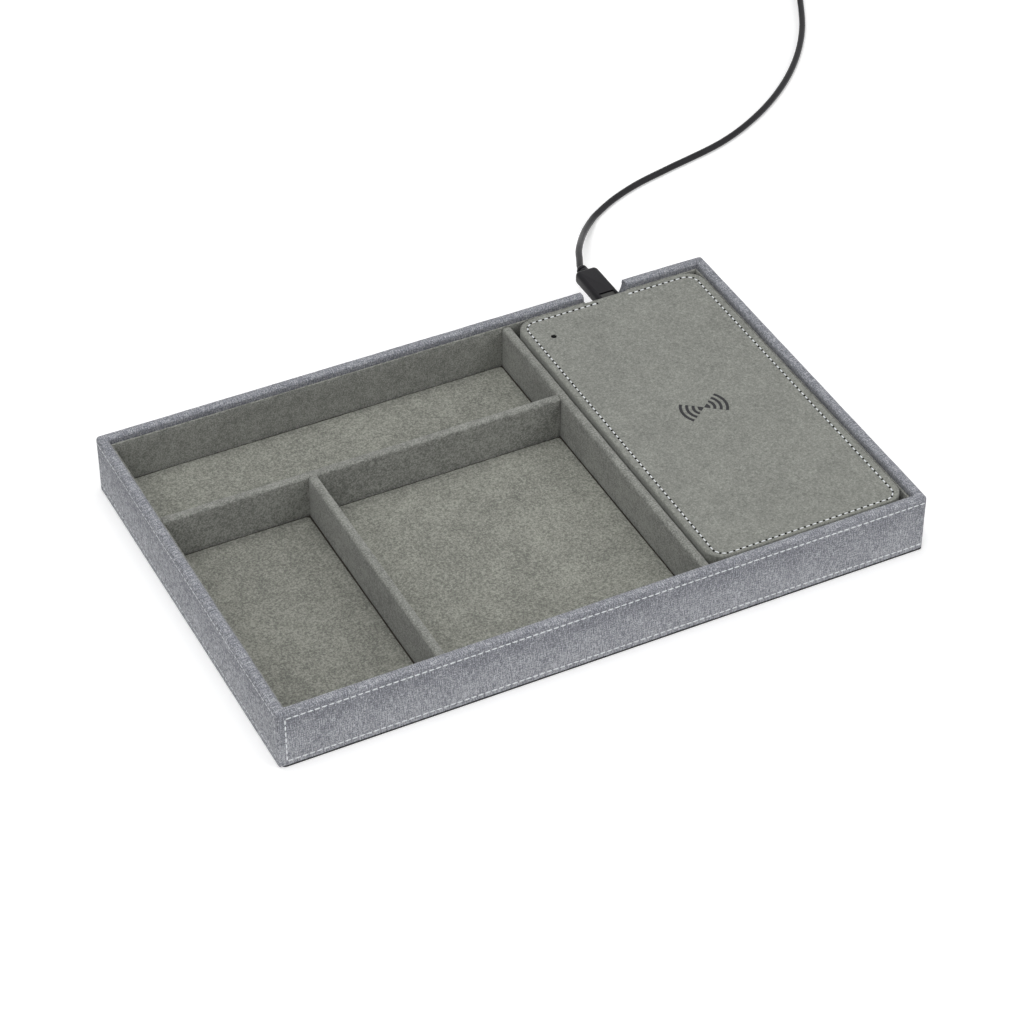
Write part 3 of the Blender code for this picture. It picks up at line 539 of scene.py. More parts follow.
tray_low, tray_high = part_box("outer_cover")
TABLE = 0.0
RIM = tray_high.z
WALL = 0.0046
FABRIC = 0.0008
COVER_CORNER = 0.0018
COVER_INNER_CORNER = 0.0004
RIM_ROUND = 0.0016
SEAT = 0.0042  # the foot of the cloth on the walls' inside
SHEET_TOP = 0.0009
SHEET_ROUND = 0.0002
NEAR_FACE = 0.0005
TOUCH = 0.0001
GAP = 0.0003
CLOTH_GRID = 0.006
SUEDE_GRID = 0.005
SHEET_GRID = 0.020

FLOOR_GAP = 0.0007
FLOOR_CORNER = 0.0016
FLOOR_ROUND = 0.0004
LINING_ROUND = 0.0003
DIVIDER_ROUND = 0.0013
DIVIDER_SKIN = 0.0008

NOTCH = Vector((0.09745, 0, 0.0270))
NOTCH_RADIUS = 0.0110
NOTCH_START = 0.0900
NOTCH_REACH = 0.0120
NOTCH_CLEAR = 0.0022
PORT = Vector((0.09945, 0.0, 0.0221))
PORT_HALF = Vector((0.0049, 0.0030, 0.0020))
PORT_ROUND = 0.00195
PLUG_RECESS = (0.0037, 0.0050, 0.0008)  # half width, length, depth
RECESS_OVERCUT = 0.0010
INSET_HALF = 0.0002  # half the strip's thickness
INSET_ROUND = 0.0001

pad_low, pad_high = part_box("pad_cover")
PAD_CORNER = 0.0085
PAD_ROUND = 0.0009
PAD_SKIN = 0.0009
PAD_RING = 0.0005
PAD_FIRST_RING = 0.0001
PAD_GRID = 0.007
LIGHT = Vector((0.0613, 0.0750, 0))
LIGHT_HOLE_RADIUS = 0.0014
LIGHT_HOLE_DEPTH = 0.0060
CIRCUIT_CENTRE = (0.0964, 0.0670, 0)
COIL_CENTRE = (0.09645, -0.00035, 0)

ROW_TOP = 0.0256
ROW_BOTTOM = 0.0030
ROW_SIDE = 0.0032
ROW_SIDE_LEFT = 0.0038
ROW_CORNER = 0.0010
PAD_ROW = (0.0527, 0.1399, -0.0905, 0.0884)  # left, right, front, back
PAD_ROW_CORNER = 0.0056
PAD_ROW_ENDS = (0.1060, 0.0905)
GROOVE = 0.00014
GROOVE_HALF = 0.0006
STITCH_PITCH = 0.0031
STITCH_SHARE, PAD_STITCH_SHARE = 0.82, 0.66  # a stitch's part of the pitch
END_STITCH = 1.5  # how much thicker the pad row's two end stitches are
COVER_STITCH = (0.00074, 0.00052)  # width, height
LEFT_STITCH = (0.00048, 0.00030)
PAD_STITCH = (0.00066, 0.00046)
STITCH_SUNK = 0.00002
# The dark cones that paint the needle holes' shade
HOLE_RADII = (0.00056, 0.00050)
HOLE_DEPTH = 0.00030
HOLE_SUNK = 0.00006

SIGN_CENTRE = Vector((0.0963, -0.0006, pad_high.z - 0.00004))
SIGN_THICKNESS = 0.00012
SIGN_ARCS = (  # inner and outer radius, half the spread in degrees
    (0.0002, 0.0028, 38),
    (0.0041, 0.00545, 39),
    (0.0069, 0.00825, 38),
    (0.0097, 0.01105, 37),
)


# -------- the lead

CORD_DIAMETER = 0.0032
STUB_END_Y = 0.1216
STUB_LEAN = Vector((0.0003, 0.0029, -0.0001))
TURN_PITCH = 0.0038
TURNS_MIDDLE_RADIUS = 0.01903
TURN_CENTRE = Vector((0.3223, 0.3501, 0))
ENTRY_ANGLE, EXIT_ANGLE = radians(-24.0), radians(63.3)
TURNS = 5 + (EXIT_ANGLE - ENTRY_ANGLE) / tau
TURN_POINTS = 48
TAIL_LENGTH = 0.0260
TAIL_POINTS = 12
TIE_THICKNESS = 0.0006
TIE_WIDTH = 0.0060
TIE_ANGLE = radians(205.0)
TIE_ROUND = 0.0018
TIE_FLAP = 0.0080
TIE_FLAP_ROUND = 0.0012
FREE_STEP = 0.0025
USB_C_STUB = 0.0042
USB_C_SHOULDER = 0.0023
USB_C_ROUND = 0.0018
GRIP_EDGE_ROUND = 0.0002
USB_A_WIDTH = 0.0150
USB_A_HEIGHT = 0.0080
USB_A_LENGTH = 0.0240
USB_A_CORNER = 0.0022
USB_A_ROUND = 0.0012
USB_A_RIB = Vector((0.0090, 0.0009, 0.0005))
USB_A_FIRST_RIB = 0.0060
USB_A_RIB_PITCH = 0.0022
USB_A_SHELL = Vector((0.0120, 0.0122, 0.0045))
USB_A_SHELL_WALL = 0.0004
USB_A_SHELL_ROUND = 0.0004
USB_A_WINDOW = Vector((0.0025, 0.0022, 0.0080))
USB_A_WINDOW_PLACE = (0.0032, 0.0063)
USB_A_CONTACT = Vector((0.0011, 0.0058, 0.0001))
USB_A_CONTACT_PLACE = (0.0036, 0.0078, -0.0003)
USB_A_CONTACT_PITCH = 0.0024
PROFILE_UNIT, PROFILE_REACH = 0.0001, 0.004
USB_A_STUB_PROFILE = (  # radius, and distance from the grip's end, in that unit
    (0, -34), (17, -34), (21, -30), (23, -20), (27, -8), (27, 10), (0, 10),
)
USB_C_STUB_PROFILE = (
    (0, -8), (27, -8), (27, 10), (25, 13), (21, 14), (21, 20), (25, 21),
    (26, 24), (26, 33), (24, 36), (19, 42), (17, 47), (0, 47),
)
CORD_ROUTE = (
    (0.1008, 0.1252, 0.0217),
    (0.1035, 0.1307, 0.0206),
    (0.1070, 0.1380, 0.0187),
    (0.1121, 0.1467, 0.0156),
    (0.1195, 0.1583, 0.0105),
    (0.1272, 0.1692, 0.0058),
    (0.1341, 0.1773, 0.0030),
    (0.1406, 0.1832, 0.0018),
    (0.1545, 0.1912, 0.0016),
    (0.1711, 0.1976, 0.0016),
    (0.1911, 0.2026, 0.0016),
    (0.2256, 0.2109, 0.0016),
    (0.2525, 0.2234, 0.0016),
    (0.2769, 0.2403, 0.0016),
    (0.2984, 0.2610, 0.0016),
    (0.3165, 0.2849, 0.0018),
    (0.3308, 0.3113, 0.0023),
)


def smooth_step(share):
    share = min(max(share, 0), 1)
    return share * share * (3 - 2 * share)


def heading(angle):
    """The way that the turning cord runs at an angle round the coil."""
    return Vector((-sin(angle), cos(angle), 0))


def coil_points():
    low = TIE_THICKNESS + GAP + CORD_DIAMETER / 2
    inner = TURNS_MIDDLE_RADIUS - TURN_PITCH * TURNS / 4
    count = round(TURNS * TURN_POINTS)
    points = []
    for step in range(count + 1):
        turn = TURNS * step / count
        after_middle = turn - TURNS / 2
        radius = inner + TURN_PITCH * abs(after_middle)
        height = low + TURN_PITCH * smooth_step(after_middle / 0.5 + 1 / 2)
        angle = ENTRY_ANGLE + tau * turn
        points.append(TURN_CENTRE + Vector((radius * cos(angle), radius * sin(angle), height)))
    return points


def tail_points(start):
    """From the coil's end down to the far plug's height."""
    points = []
    for step in range(1, TAIL_POINTS + 1):
        share = step / TAIL_POINTS
        drop = (start.z - USB_A_HEIGHT / 2) * smooth_step(share / 0.8)
        points.append(start + TAIL_LENGTH * share * heading(EXIT_ANGLE) - drop * Z)
    return points


def catmull_rom(before, start, end, after, share):
    return (
        start * 2
        + (end - before) * share
        + (before * 2 - start * 5 + end * 4 - after) * share**2
        + (start * 3 - before - end * 3 + after) * share**3
    ) / 2


def free_points(entry):
    """Out of the plug's stub, down to the table and over it to the coil."""
    start = Vector((PORT.x, STUB_END_Y + GAP, PORT.z))
    before_entry = entry - CORD_DIAMETER * heading(ENTRY_ANGLE)
    line = [start - STUB_LEAN, start, *map(Vector, CORD_ROUTE), before_entry, entry]
    points = [start]
    for before, first, last, after in zip(line, line[1:], line[2:], line[3:]):
        parts = max(round((last - first).length / FREE_STEP), 2)
        points += [catmull_rom(before, first, last, after, part / parts) for part in range(parts)]
    return points + [before_entry, entry]


def make_cord(finish):
    coil = coil_points()
    entry = coil[0] - (CORD_DIAMETER + GAP) * heading(ENTRY_ANGLE)
    points = free_points(entry) + coil + tail_points(coil[-1])
    curve = bpy.data.curves.new("lead_cord", "CURVE")
    curve.dimensions = "3D"
    curve.bevel_depth = CORD_DIAMETER / 2
    curve.bevel_resolution = 4
    curve.use_fill_caps = True
    spline = curve.splines.new("POLY")
    spline.points.add(len(points) - 1)
    for target, point in zip(spline.points, points):
        target.co = (*point, 1)
    cord = linked("lead_cord", curve)
    curve.materials.append(finish)
    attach(cord, "lead")
    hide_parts("cord", "cord_coil")
    return cord, points


def make_usb_c_grip(finish):
    """A flat grip with round shoulders, and a ringed stub where the cord goes in."""
    low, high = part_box("usb_c_overmould")
    end_y = high.y - USB_C_STUB
    bm = box_shape(low, (high.x, end_y, high.z))
    shoulders = [e for e in bm.edges if running(e, Z) and middle(e).y > end_y - SNAP]
    rounded(bm, shoulders, USB_C_SHOULDER, 6)
    front = facing(bm, -Y)[0]
    rims = [e for e in bm.edges if not running(e, Z) and front not in e.link_faces]
    rounded(bm, rims, USB_C_ROUND, 5)
    rounded(bm, facing(bm, -Y)[0].edges, GRIP_EDGE_ROUND, 2)
    half, reach, deep = PLUG_RECESS
    recess_low = (PORT.x - half, low.y - RECESS_OVERCUT, high.z - deep)
    recess_high = (PORT.x + half, low.y + reach, high.z + RECESS_OVERCUT)
    bm = cut_away(bm, box_shape(recess_low, recess_high))
    turned(bm, USB_C_STUB_PROFILE, Vector((PORT.x, end_y, PORT.z)))
    return piece("usb_c_grip", bm, finish, "lead", "plug_plastic", "usb_c_overmould")


def make_usb_c_inset(finish):
    """The pale strip beside the pad, set in a recess of the plug's grip."""
    low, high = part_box("usb_c_overmould")
    half, reach, deep = PLUG_RECESS
    strip_low = (PORT.x - half + TOUCH, low.y + GRIP_EDGE_ROUND, high.z - deep - INSET_HALF)
    strip_high = (PORT.x + half - TOUCH, low.y + reach - GAP, high.z - deep + INSET_HALF)
    bm = box_shape(strip_low, strip_high)
    rounded(bm, facing(bm, Z)[0].edges, INSET_ROUND, 2)
    return piece("usb_c_inset", bm, finish, "lead", "plug_plastic")


def turned(bm, profile, centre):
    """Add a profile of radius and distance, spun round an axis along Y."""
    places = [PROFILE_UNIT * (radius * X + along * Y) for radius, along in profile]
    verts = [bm.verts.new(centre + place) for place in places]
    edges = [bm.edges.new(pair) for pair in zip(verts, verts[1:])]
    bmesh.ops.spin(bm, geom=verts + edges, cent=centre, axis=Y, angle=tau, steps=32, use_merge=True)
    near_axis = [vert for vert in bm.verts if (vert.co - centre).xz.length < PROFILE_REACH]
    bmesh.ops.remove_doubles(bm, verts=near_axis, dist=1e-6)
    bmesh.ops.recalc_face_normals(bm, faces=bm.faces)


def far_plug_place(end):
    out = heading(EXIT_ANGLE)
    turn = atan2(out.y, out.x) - pi / 2
    foot = end + GAP * out
    return Matrix.Translation((foot.x, foot.y, USB_A_HEIGHT / 2)) @ Matrix.Rotation(turn, 4, "Z")


def make_usb_a_plug(finish, steel, gold, end):
    """The far plug: a ribbed grip with a stub, a pierced steel shell and four contacts."""
    place = far_plug_place(end)
    half = Vector((USB_A_WIDTH, 0, USB_A_HEIGHT)) / 2
    bm = box_shape(-half, half + USB_A_LENGTH * Y)
    rounded(bm, corner_edges(bm), USB_A_CORNER, 5)
    rounded(bm, [e for e in bm.edges if not running(e, Z) and turns_sharply(e)], USB_A_ROUND, 4)
    turned(bm, USB_A_STUB_PROFILE, Vector())
    for number in range(5):
        rib_y = USB_A_FIRST_RIB + USB_A_RIB_PITCH * number
        rounded(bm, add_block(bm, Vector((0, rib_y, half.z)), USB_A_RIB), GRIP_EDGE_ROUND, 2)
    bm.transform(place)
    grip = piece("usb_a_grip", bm, finish, "lead", "plug_plastic", "usb_a_overmould")

    start = USB_A_LENGTH + GAP
    half = Vector((USB_A_SHELL.x, 0, USB_A_SHELL.z)) / 2
    bm = box_shape(start * Y - half, (start + USB_A_SHELL.y) * Y + half)
    rounded(bm, corner_edges(bm, Y), USB_A_SHELL_ROUND, 3)
    dropped(bm, facing(bm, Y))
    bmesh.ops.solidify(bm, geom=bm.faces[:], thickness=USB_A_SHELL_WALL)
    bmesh.ops.recalc_face_normals(bm, faces=bm.faces)
    aside, along = USB_A_WINDOW_PLACE
    for x in (-aside, aside):
        centre = Vector((x, start + along, 0))
        bm = cut_away(bm, box_shape(centre - USB_A_WINDOW / 2, centre + USB_A_WINDOW / 2))
    bm.transform(place)
    shell = piece("usb_a_tube", bm, steel, "lead", "steel", "usb_a_shell")

    bm = bmesh.new()
    aside, along, height = USB_A_CONTACT_PLACE
    for number in range(4):
        centre = Vector((USB_A_CONTACT_PITCH * number - aside, start + along, height))
        add_block(bm, centre, USB_A_CONTACT)
    bm.transform(place)
    contacts = piece("usb_a_contacts", bm, gold, "lead", "contact_plastic")
    return [grip, shell, contacts]


def turns_sharply(edge):
    """Whether the faces beside an edge meet at a marked angle."""
    return len(edge.link_faces) == 2 and edge.calc_face_angle() > radians(60)


def make_tie(finish):
    """A looped strap round the bundle of turns, with its end laid over itself."""
    outwards = Vector((cos(TIE_ANGLE), sin(TIE_ANGLE), 0))
    along = heading(TIE_ANGLE)
    reach = TIE_WIDTH / 2 + CORD_DIAMETER
    offsets = [point - TURN_CENTRE for point in coil_points()]
    under = [o for o in offsets if o.dot(outwards) > 0 and abs(o.dot(along)) < reach]
    spread = CORD_DIAMETER / 2 + GAP
    near = min(offset.dot(outwards) for offset in under) - spread - TIE_THICKNESS
    far = max(offset.dot(outwards) for offset in under) + spread + TIE_THICKNESS
    top = max(offset.z for offset in under) + spread + TIE_THICKNESS
    bm = box_shape((near, -TIE_WIDTH / 2, 0), (far, TIE_WIDTH / 2, top))
    dropped(bm, [face for face in bm.faces if abs(face.normal.y) > 0.9])
    rounded(bm, corner_edges(bm, Y), TIE_ROUND, 6)
    laid = Vector(((near + far) / 2, 0, top + TIE_THICKNESS / 2))
    flap = add_block(bm, laid, (TIE_FLAP, TIE_WIDTH, TIE_THICKNESS))
    rounded(bm, [edge for edge in flap if running(edge, Z)], TIE_FLAP_ROUND, 4)
    bm.transform(Matrix.Translation(TURN_CENTRE) @ Matrix.Rotation(TIE_ANGLE, 4, "Z"))
    return piece("cord_strap", bm, finish, "lead", "rubber", "cord_tie", skin=TIE_THICKNESS)


# -------- cloth and suede


def notch_shape():
    """A U with upright sides, as a bar through the back wall."""
    bm = bmesh.new()
    stood = Matrix.Translation((NOTCH.x, NOTCH_START, NOTCH.z)) @ Matrix.Rotation(pi / 2, 4, "X")
    bmesh.ops.create_circle(bm, cap_ends=True, segments=72, radius=NOTCH_RADIUS, matrix=stood)
    raised = [vert for vert in bm.verts if vert.co.z > NOTCH.z + SNAP]
    bmesh.ops.translate(bm, verts=raised, vec=NOTCH_REACH * Z)
    thickened(bm, NOTCH_REACH * Y)
    return bm


def thickened(bm, step, **kept):
    """Draw all faces out by a step."""
    grown = bmesh.ops.extrude_face_region(bm, geom=bm.faces[:], **kept)
    moved = [item for item in grown["geom"] if isinstance(item, bmesh.types.BMVert)]
    bmesh.ops.translate(bm, verts=moved, vec=step)
    bmesh.ops.recalc_face_normals(bm, faces=bm.faces)


OVER_SHIFT, END_SHIFT = 0.05, 0.31


def lay_cloth(bm):
    """The weave's map in metres, along each wall and across it. Shifts keep it from repeating."""
    layer = bm.loops.layers.uv.new("cloth")
    for face in bm.faces:
        size = [abs(value) for value in face.normal]
        centre = face.calc_center_median()
        for loop in face.loops:
            x, y, z = loop.vert.co
            side_wall = tray_high.x - abs(centre.x) < tray_high.y - abs(centre.y)
            if size[2] >= max(size[0], size[1]):
                loop[layer].uv = (y, x + OVER_SHIFT) if side_wall else (x, y + OVER_SHIFT)
            elif size[0] > size[1]:
                loop[layer].uv = (y + END_SHIFT, z)
            else:
                loop[layer].uv = (x, z)


def draped(bm, low, high, grid, amount, wave):
    gridded(bm, low, high, grid)
    uneven(bm, amount, wave)


def make_cover(finish):
    """One strip of cloth: up the walls' outside, over the rim, down the inside and round the notch.

    At the left wall it reaches the table. At the others it ends at the underside sheet.
    """
    bm = box_shape((tray_low.x, tray_low.y, SHEET_TOP), tray_high)
    top = facing(bm, Z)[0]
    bmesh.ops.inset_region(bm, faces=[top], thickness=WALL, use_even_offset=True)
    bmesh.ops.inset_region(bm, faces=[top], thickness=0, depth=SEAT - RIM)
    outer_x, inner_x = tray_high.x - SNAP, tray_high.x - WALL + SNAP
    rounded(bm, [e for e in corner_edges(bm) if abs(middle(e).x) > outer_x], COVER_CORNER, 5)
    rounded(bm, [e for e in corner_edges(bm) if abs(middle(e).x) < inner_x], COVER_INNER_CORNER, 2)
    rim = {face for face in facing(bm, Z) if middle(face).z > RIM - SNAP}
    rounded(bm, [e for e in bm.edges if len(rim.intersection(e.link_faces)) == 1], RIM_ROUND, 6)
    bm = cut_away(bm, notch_shape())
    dropped(bm, [f for f in facing(bm, Z) if middle(f).z < SEAT + TOUCH] + facing(bm, -Z))
    rows = (ROW_TOP, ROW_BOTTOM)
    sliced(bm, Z, [row + shift for row in rows for shift in (-GROOVE_HALF, 0, GROOVE_HALF)])
    gridded(bm, tray_low, tray_high, CLOTH_GRID)
    bm.normal_update()
    for vert in bm.verts:
        outside = max(abs(vert.co.x) - tray_high.x, abs(vert.co.y) - tray_high.y) > -SNAP
        if outside and min(abs(vert.co.z - row) for row in rows) < SNAP:
            vert.co -= vert.normal * GROOVE
    uneven(bm, amount=0.00012, wave=0.014)
    for vert in bm.verts:
        if vert.co.x < tray_low.x + NEAR_FACE and vert.co.z < SHEET_TOP + GAP:
            vert.co.z = TABLE + TOUCH
    bm.normal_update()
    lay_cloth(bm)
    piece("heather_cover", bm, finish, "tray", "outer_fabric", "outer_cover", skin=FABRIC)


def make_underside(finish):
    """The black sheet below the tray: flush with the cloth, but behind it on the left."""
    low = (tray_low.x + FABRIC + GAP, tray_low.y, TABLE)
    bm = box_shape(low, (tray_high.x, tray_high.y, SHEET_TOP - TOUCH))
    rounded(bm, corner_edges(bm), COVER_CORNER, 5)
    rounded(bm, facing(bm, Z)[0].edges, SHEET_ROUND, 2)
    gridded(bm, tray_low, tray_high, SHEET_GRID)
    piece("underside_sheet", bm, finish, "tray", "underside", "base_sheet")


def make_linings(finish):
    """Suede round thin card on each wall's inside, with a soft upper edge."""
    for node in ("front_lining", "back_lining", "bay_back_lining", "left_lining", "right_lining"):
        low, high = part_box(node)
        bm = box_shape(low, high)
        rounded(bm, top_edges(bm, high.z), LINING_ROUND, 3)
        if node == "bay_back_lining":
            bm = cut_away(bm, notch_shape())
        draped(bm, low, high, SUEDE_GRID, amount=0.00010, wave=0.012)
        piece(node.replace("lining", "suede"), bm, finish, "tray", "tray_suede", node)


def make_floors(finishes):
    """Suede covered panels with round corners, laid loose between the walls."""
    for node, finish in finishes.items():
        low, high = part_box(node)
        low, high = low + FLOOR_GAP * (X + Y), high - FLOOR_GAP * (X + Y)
        bm = box_shape(low, high)
        rounded(bm, corner_edges(bm), FLOOR_CORNER, 5)
        rounded(bm, top_edges(bm, high.z), FLOOR_ROUND, 3)
        draped(bm, low, high, CLOTH_GRID, amount=0.00012, wave=0.016)
        piece(node.replace("floor", "suede"), bm, finish, "tray", "tray_suede", node)


def make_dividers(finish):
    """A strip of suede folded over each divider's board."""
    for name, direction in (("long", Y), ("cross", X), ("short", Y)):
        node = f"{name}_divider_wrap"
        low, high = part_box(node)
        bm = box_shape(low, high)
        rounded(bm, [e for e in top_edges(bm, high.z) if running(e, direction)], DIVIDER_ROUND, 5)
        dropped(bm, facing(bm, -Z) + facing(bm, direction) + facing(bm, -direction))
        draped(bm, low, high, SUEDE_GRID, amount=0.00010, wave=0.011)
        name = f"{name}_divider_suede"
        piece(name, bm, finish, "tray", "tray_suede", node, skin=DIVIDER_SKIN)


def make_pad_cover(finish):
    """Suede drawn over the pad, with the shallow groove that its stitches pull."""
    bm = box_shape(pad_low, pad_high)
    rounded(bm, corner_edges(bm), PAD_CORNER, 12)
    rounded(bm, facing(bm, Z)[0].edges, PAD_ROUND, 5)
    top = facing(bm, Z)[0]
    even = {"faces": [top], "use_even_offset": True}
    bmesh.ops.inset_region(bm, thickness=PAD_FIRST_RING, **even)
    drawn_in = PAD_ROUND + PAD_FIRST_RING + 2 * PAD_RING
    now = (pad_low.x + drawn_in, pad_high.x - drawn_in, pad_low.y + drawn_in, pad_high.y - drawn_in)
    left, right, front, back = [want - have for want, have in zip(PAD_ROW, now)]
    centre = (pad_low + pad_high) / 2
    rings = []
    for depth in (0, -GROOVE, GROOVE):
        bmesh.ops.inset_region(bm, thickness=PAD_RING, depth=depth, **even)
        rings += top.verts[:]
    for vert in rings:
        vert.co.x += right if vert.co.x > centre.x else left
        vert.co.y += back if vert.co.y > centre.y else front
    mouth = Vector((PORT.x, pad_high.y, PORT.z))
    port = box_shape(mouth - PORT_HALF, mouth + PORT_HALF)
    rounded(port, corner_edges(port, Y), PORT_ROUND, 6)
    bm = cut_away(bm, port)
    hole = bmesh.new()
    add_cone(hole, LIGHT + pad_high.z * Z, (LIGHT_HOLE_RADIUS,) * 2, LIGHT_HOLE_DEPTH, 32)
    bm = cut_away(bm, hole)
    dropped(bm, facing(bm, -Z))
    draped(bm, pad_low, pad_high, PAD_GRID, amount=0.00006, wave=0.018)
    piece("pad_suede", bm, finish, "charger_pad", "pad_suede", "pad_cover", skin=PAD_SKIN)


# -------- stitches


def spaced(points, pitch):
    """Places at an even pitch along a line of points, each with the line's direction there."""
    lengths = [(b - a).length for a, b in zip(points, points[1:])]
    total = sum(lengths)
    count = max(round(total / pitch), 1)
    found, travelled, number = [], 0.0, 0
    for a, b, length in zip(points, points[1:], lengths):
        while number < count and travelled + length >= total * (number + 0.5) / count:
            share = (total * (number + 0.5) / count - travelled) / length
            found.append((a.lerp(b, share), (b - a).normalized()))
            number += 1
        travelled += length
    return found, total / count


def stitch_shape():
    """One stitch of unit size, its ends on Z."""
    bm = bmesh.new()
    bmesh.ops.create_uvsphere(bm, u_segments=8, v_segments=6, radius=0.5)
    return as_mesh(bm, "stitch_shape")


def add_stitch(bm, shape, centre, along, outward, size):
    """One stitch, of a width, a height and a length: it dips into the cloth at both ends."""
    axes = Matrix((outward.cross(along), outward, along)).transposed().to_4x4()
    placed = shape.copy()
    placed.transform(Matrix.Translation(centre) @ axes @ Matrix.Diagonal((*size, 1)))
    bm.from_mesh(placed)
    bpy.data.meshes.remove(placed)


def add_row(bm, shape, points, outward, size):
    """A row of stitches along a line of points, of a width and a height."""
    places, pitch = spaced(points, STITCH_PITCH)
    for centre, along in places:
        add_stitch(bm, shape, centre, along, outward, (*size, pitch * STITCH_SHARE))


def make_cover_stitches(finish):
    """Two rows round the walls, and an upright row each side of the corner where the strip ends."""
    sunk = GROOVE * 0.6
    left, right = tray_low.x + sunk, tray_high.x - sunk
    front, back = tray_low.y + sunk, tray_high.y - sunk
    first, last = tray_low + ROW_CORNER * (X + Y), tray_high - ROW_CORNER * (X + Y)
    front_start, left_end = tray_low.x + ROW_SIDE, tray_low.y + ROW_SIDE_LEFT
    rows = []
    for z in (ROW_TOP, ROW_BOTTOM):
        rows += [
            ((front_start, front, z), (last.x, front, z), -Y),
            ((right, first.y, z), (right, last.y, z), X),
            ((left, last.y, z), (left, left_end, z), -X),
        ]
    half = notch_half_at(ROW_TOP)
    rows += [
        ((front_start, front, ROW_BOTTOM), (front_start, front, ROW_TOP), -Y),
        ((left, left_end, ROW_BOTTOM), (left, left_end, ROW_TOP), -X),
        ((last.x, back, ROW_TOP), (NOTCH.x + half, back, ROW_TOP), Y),
        ((NOTCH.x - half, back, ROW_TOP), (first.x, back, ROW_TOP), Y),
        ((last.x, back, ROW_BOTTOM), (first.x, back, ROW_BOTTOM), Y),
    ]
    bm = bmesh.new()
    shape = stitch_shape()
    for start, end, outward in rows:
        size = LEFT_STITCH if outward == -X else COVER_STITCH
        add_row(bm, shape, [Vector(start), Vector(end)], outward, size)
    piece("cover_stitches", bm, finish, "tray", "outer_fabric", sharp=90)


def notch_half_at(height):
    """Half the notch's width at a height, with room for the last stitch."""
    drop = max(NOTCH.z - height, 0)
    return (NOTCH_RADIUS**2 - drop**2) ** 0.5 + NOTCH_CLEAR


def pad_row_points():
    """The pad's row as a line of points, from one side of the port round to the other."""
    r = PAD_ROW_CORNER
    left, right, front, back = [side + inwards for side, inwards in zip(PAD_ROW, (r, -r, r, -r))]
    corners = (right, back, 90), (right, front, 0), (left, front, -90), (left, back, 180)
    start, end = [Vector((x, PAD_ROW[3], pad_high.z)) for x in PAD_ROW_ENDS]
    points = [start]
    for x, y, first in corners:
        for step in range(13):
            angle = radians(first - 90 * step / 12)
            points.append(Vector((x + r * cos(angle), y + r * sin(angle), pad_high.z)))
    return [*points, end]


def make_pad_stitches(finish, hole_shade_finish):
    """The white row round the pad's top, and dark cones between stitches: the needle holes' painted
    shade.
    """
    threads, shade_cones = bmesh.new(), bmesh.new()
    shape = stitch_shape()
    places, pitch = spaced(pad_row_points(), STITCH_PITCH)
    for number, (centre, along) in enumerate(places):
        thick = END_STITCH if number in (0, len(places) - 1) else 1.0
        size = (*shade(PAD_STITCH, thick), pitch * PAD_STITCH_SHARE)
        add_stitch(threads, shape, centre - STITCH_SUNK * Z, along, Z, size)
        # A dark cone between stitches: painted shade for a needle hole
        between = centre + along * pitch / 2 - HOLE_SUNK * Z
        add_cone(shade_cones, between, HOLE_RADII, HOLE_DEPTH, 12)
    piece("pad_painted_hole_shades", shade_cones, hole_shade_finish, "charger_pad", "pad_suede")
    piece("pad_stitches", threads, finish, "charger_pad", "pad_suede", sharp=90)


def make_sign(finish):
    """Three arcs and a wedge to each side: the common sign for a charging spot."""
    bm = bmesh.new()
    for side in (0, pi):
        for inner, outer, spread in SIGN_ARCS:
            start = side - radians(spread)
            across = Vector((cos(start), sin(start), 0))
            ends = [bm.verts.new(SIGN_CENTRE + reach * across) for reach in (inner, outer)]
            edge = bm.edges.new(ends)
            turn = radians(2 * spread)
            bmesh.ops.spin(bm, geom=ends + [edge], cent=SIGN_CENTRE, axis=Z, angle=turn, steps=14)
    bmesh.ops.recalc_face_normals(bm, faces=bm.faces)
    for face in facing(bm, -Z, 0.5):
        face.normal_flip()
    thickened(bm, SIGN_THICKNESS * Z, use_keep_orig=True)
    piece("charging_sign", bm, finish, "charger_pad", "pad_suede")


# -------- stage


SEEN_RAYS = ("Is Camera Ray", "Is Glossy Ray", "Is Transmission Ray")
LAMPS = (  # name, place, size, power
    ("overhead", Vector((-0.10, 0.20, 1.55)), 0.9, 10.5),
    ("front_left", Vector((-0.90, -0.80, 1.00)), 0.9, 5.5),
    ("front_right", Vector((0.90, -0.90, 1.00)), 0.9, 6.4),
)
SKY_LIGHT = 0.31


def make_table():
    """A white table with the soft shadow. It glows only as it is seen, and less near the tray."""
    bm = bmesh.new()
    bmesh.ops.create_grid(bm, x_segments=1, y_segments=1, size=6)
    table = linked("table", as_mesh(bm, "table"))
    table.location = (0, 0, TABLE - TOUCH)
    white = Finish("white_table", Base_Color=(0.90, 0.90, 0.90, 1), Roughness=0.9)
    rays = [white.node("ShaderNodeLightPath", {}, {}, ray) for ray in SEEN_RAYS]
    away = white.node("ShaderNodeVectorMath", {"operation": "LENGTH"}, {0: white.place()}, 1)
    glow = white.ramp(away * 0.4, *greys((0.24, 0.30), (0.80, 1.0)))
    white.join(white.shader.inputs["Emission Color"], glow)
    white.join(white.shader.inputs["Emission Strength"], rays[0] + rays[1] + rays[2])
    table.data.materials.append(white.material)


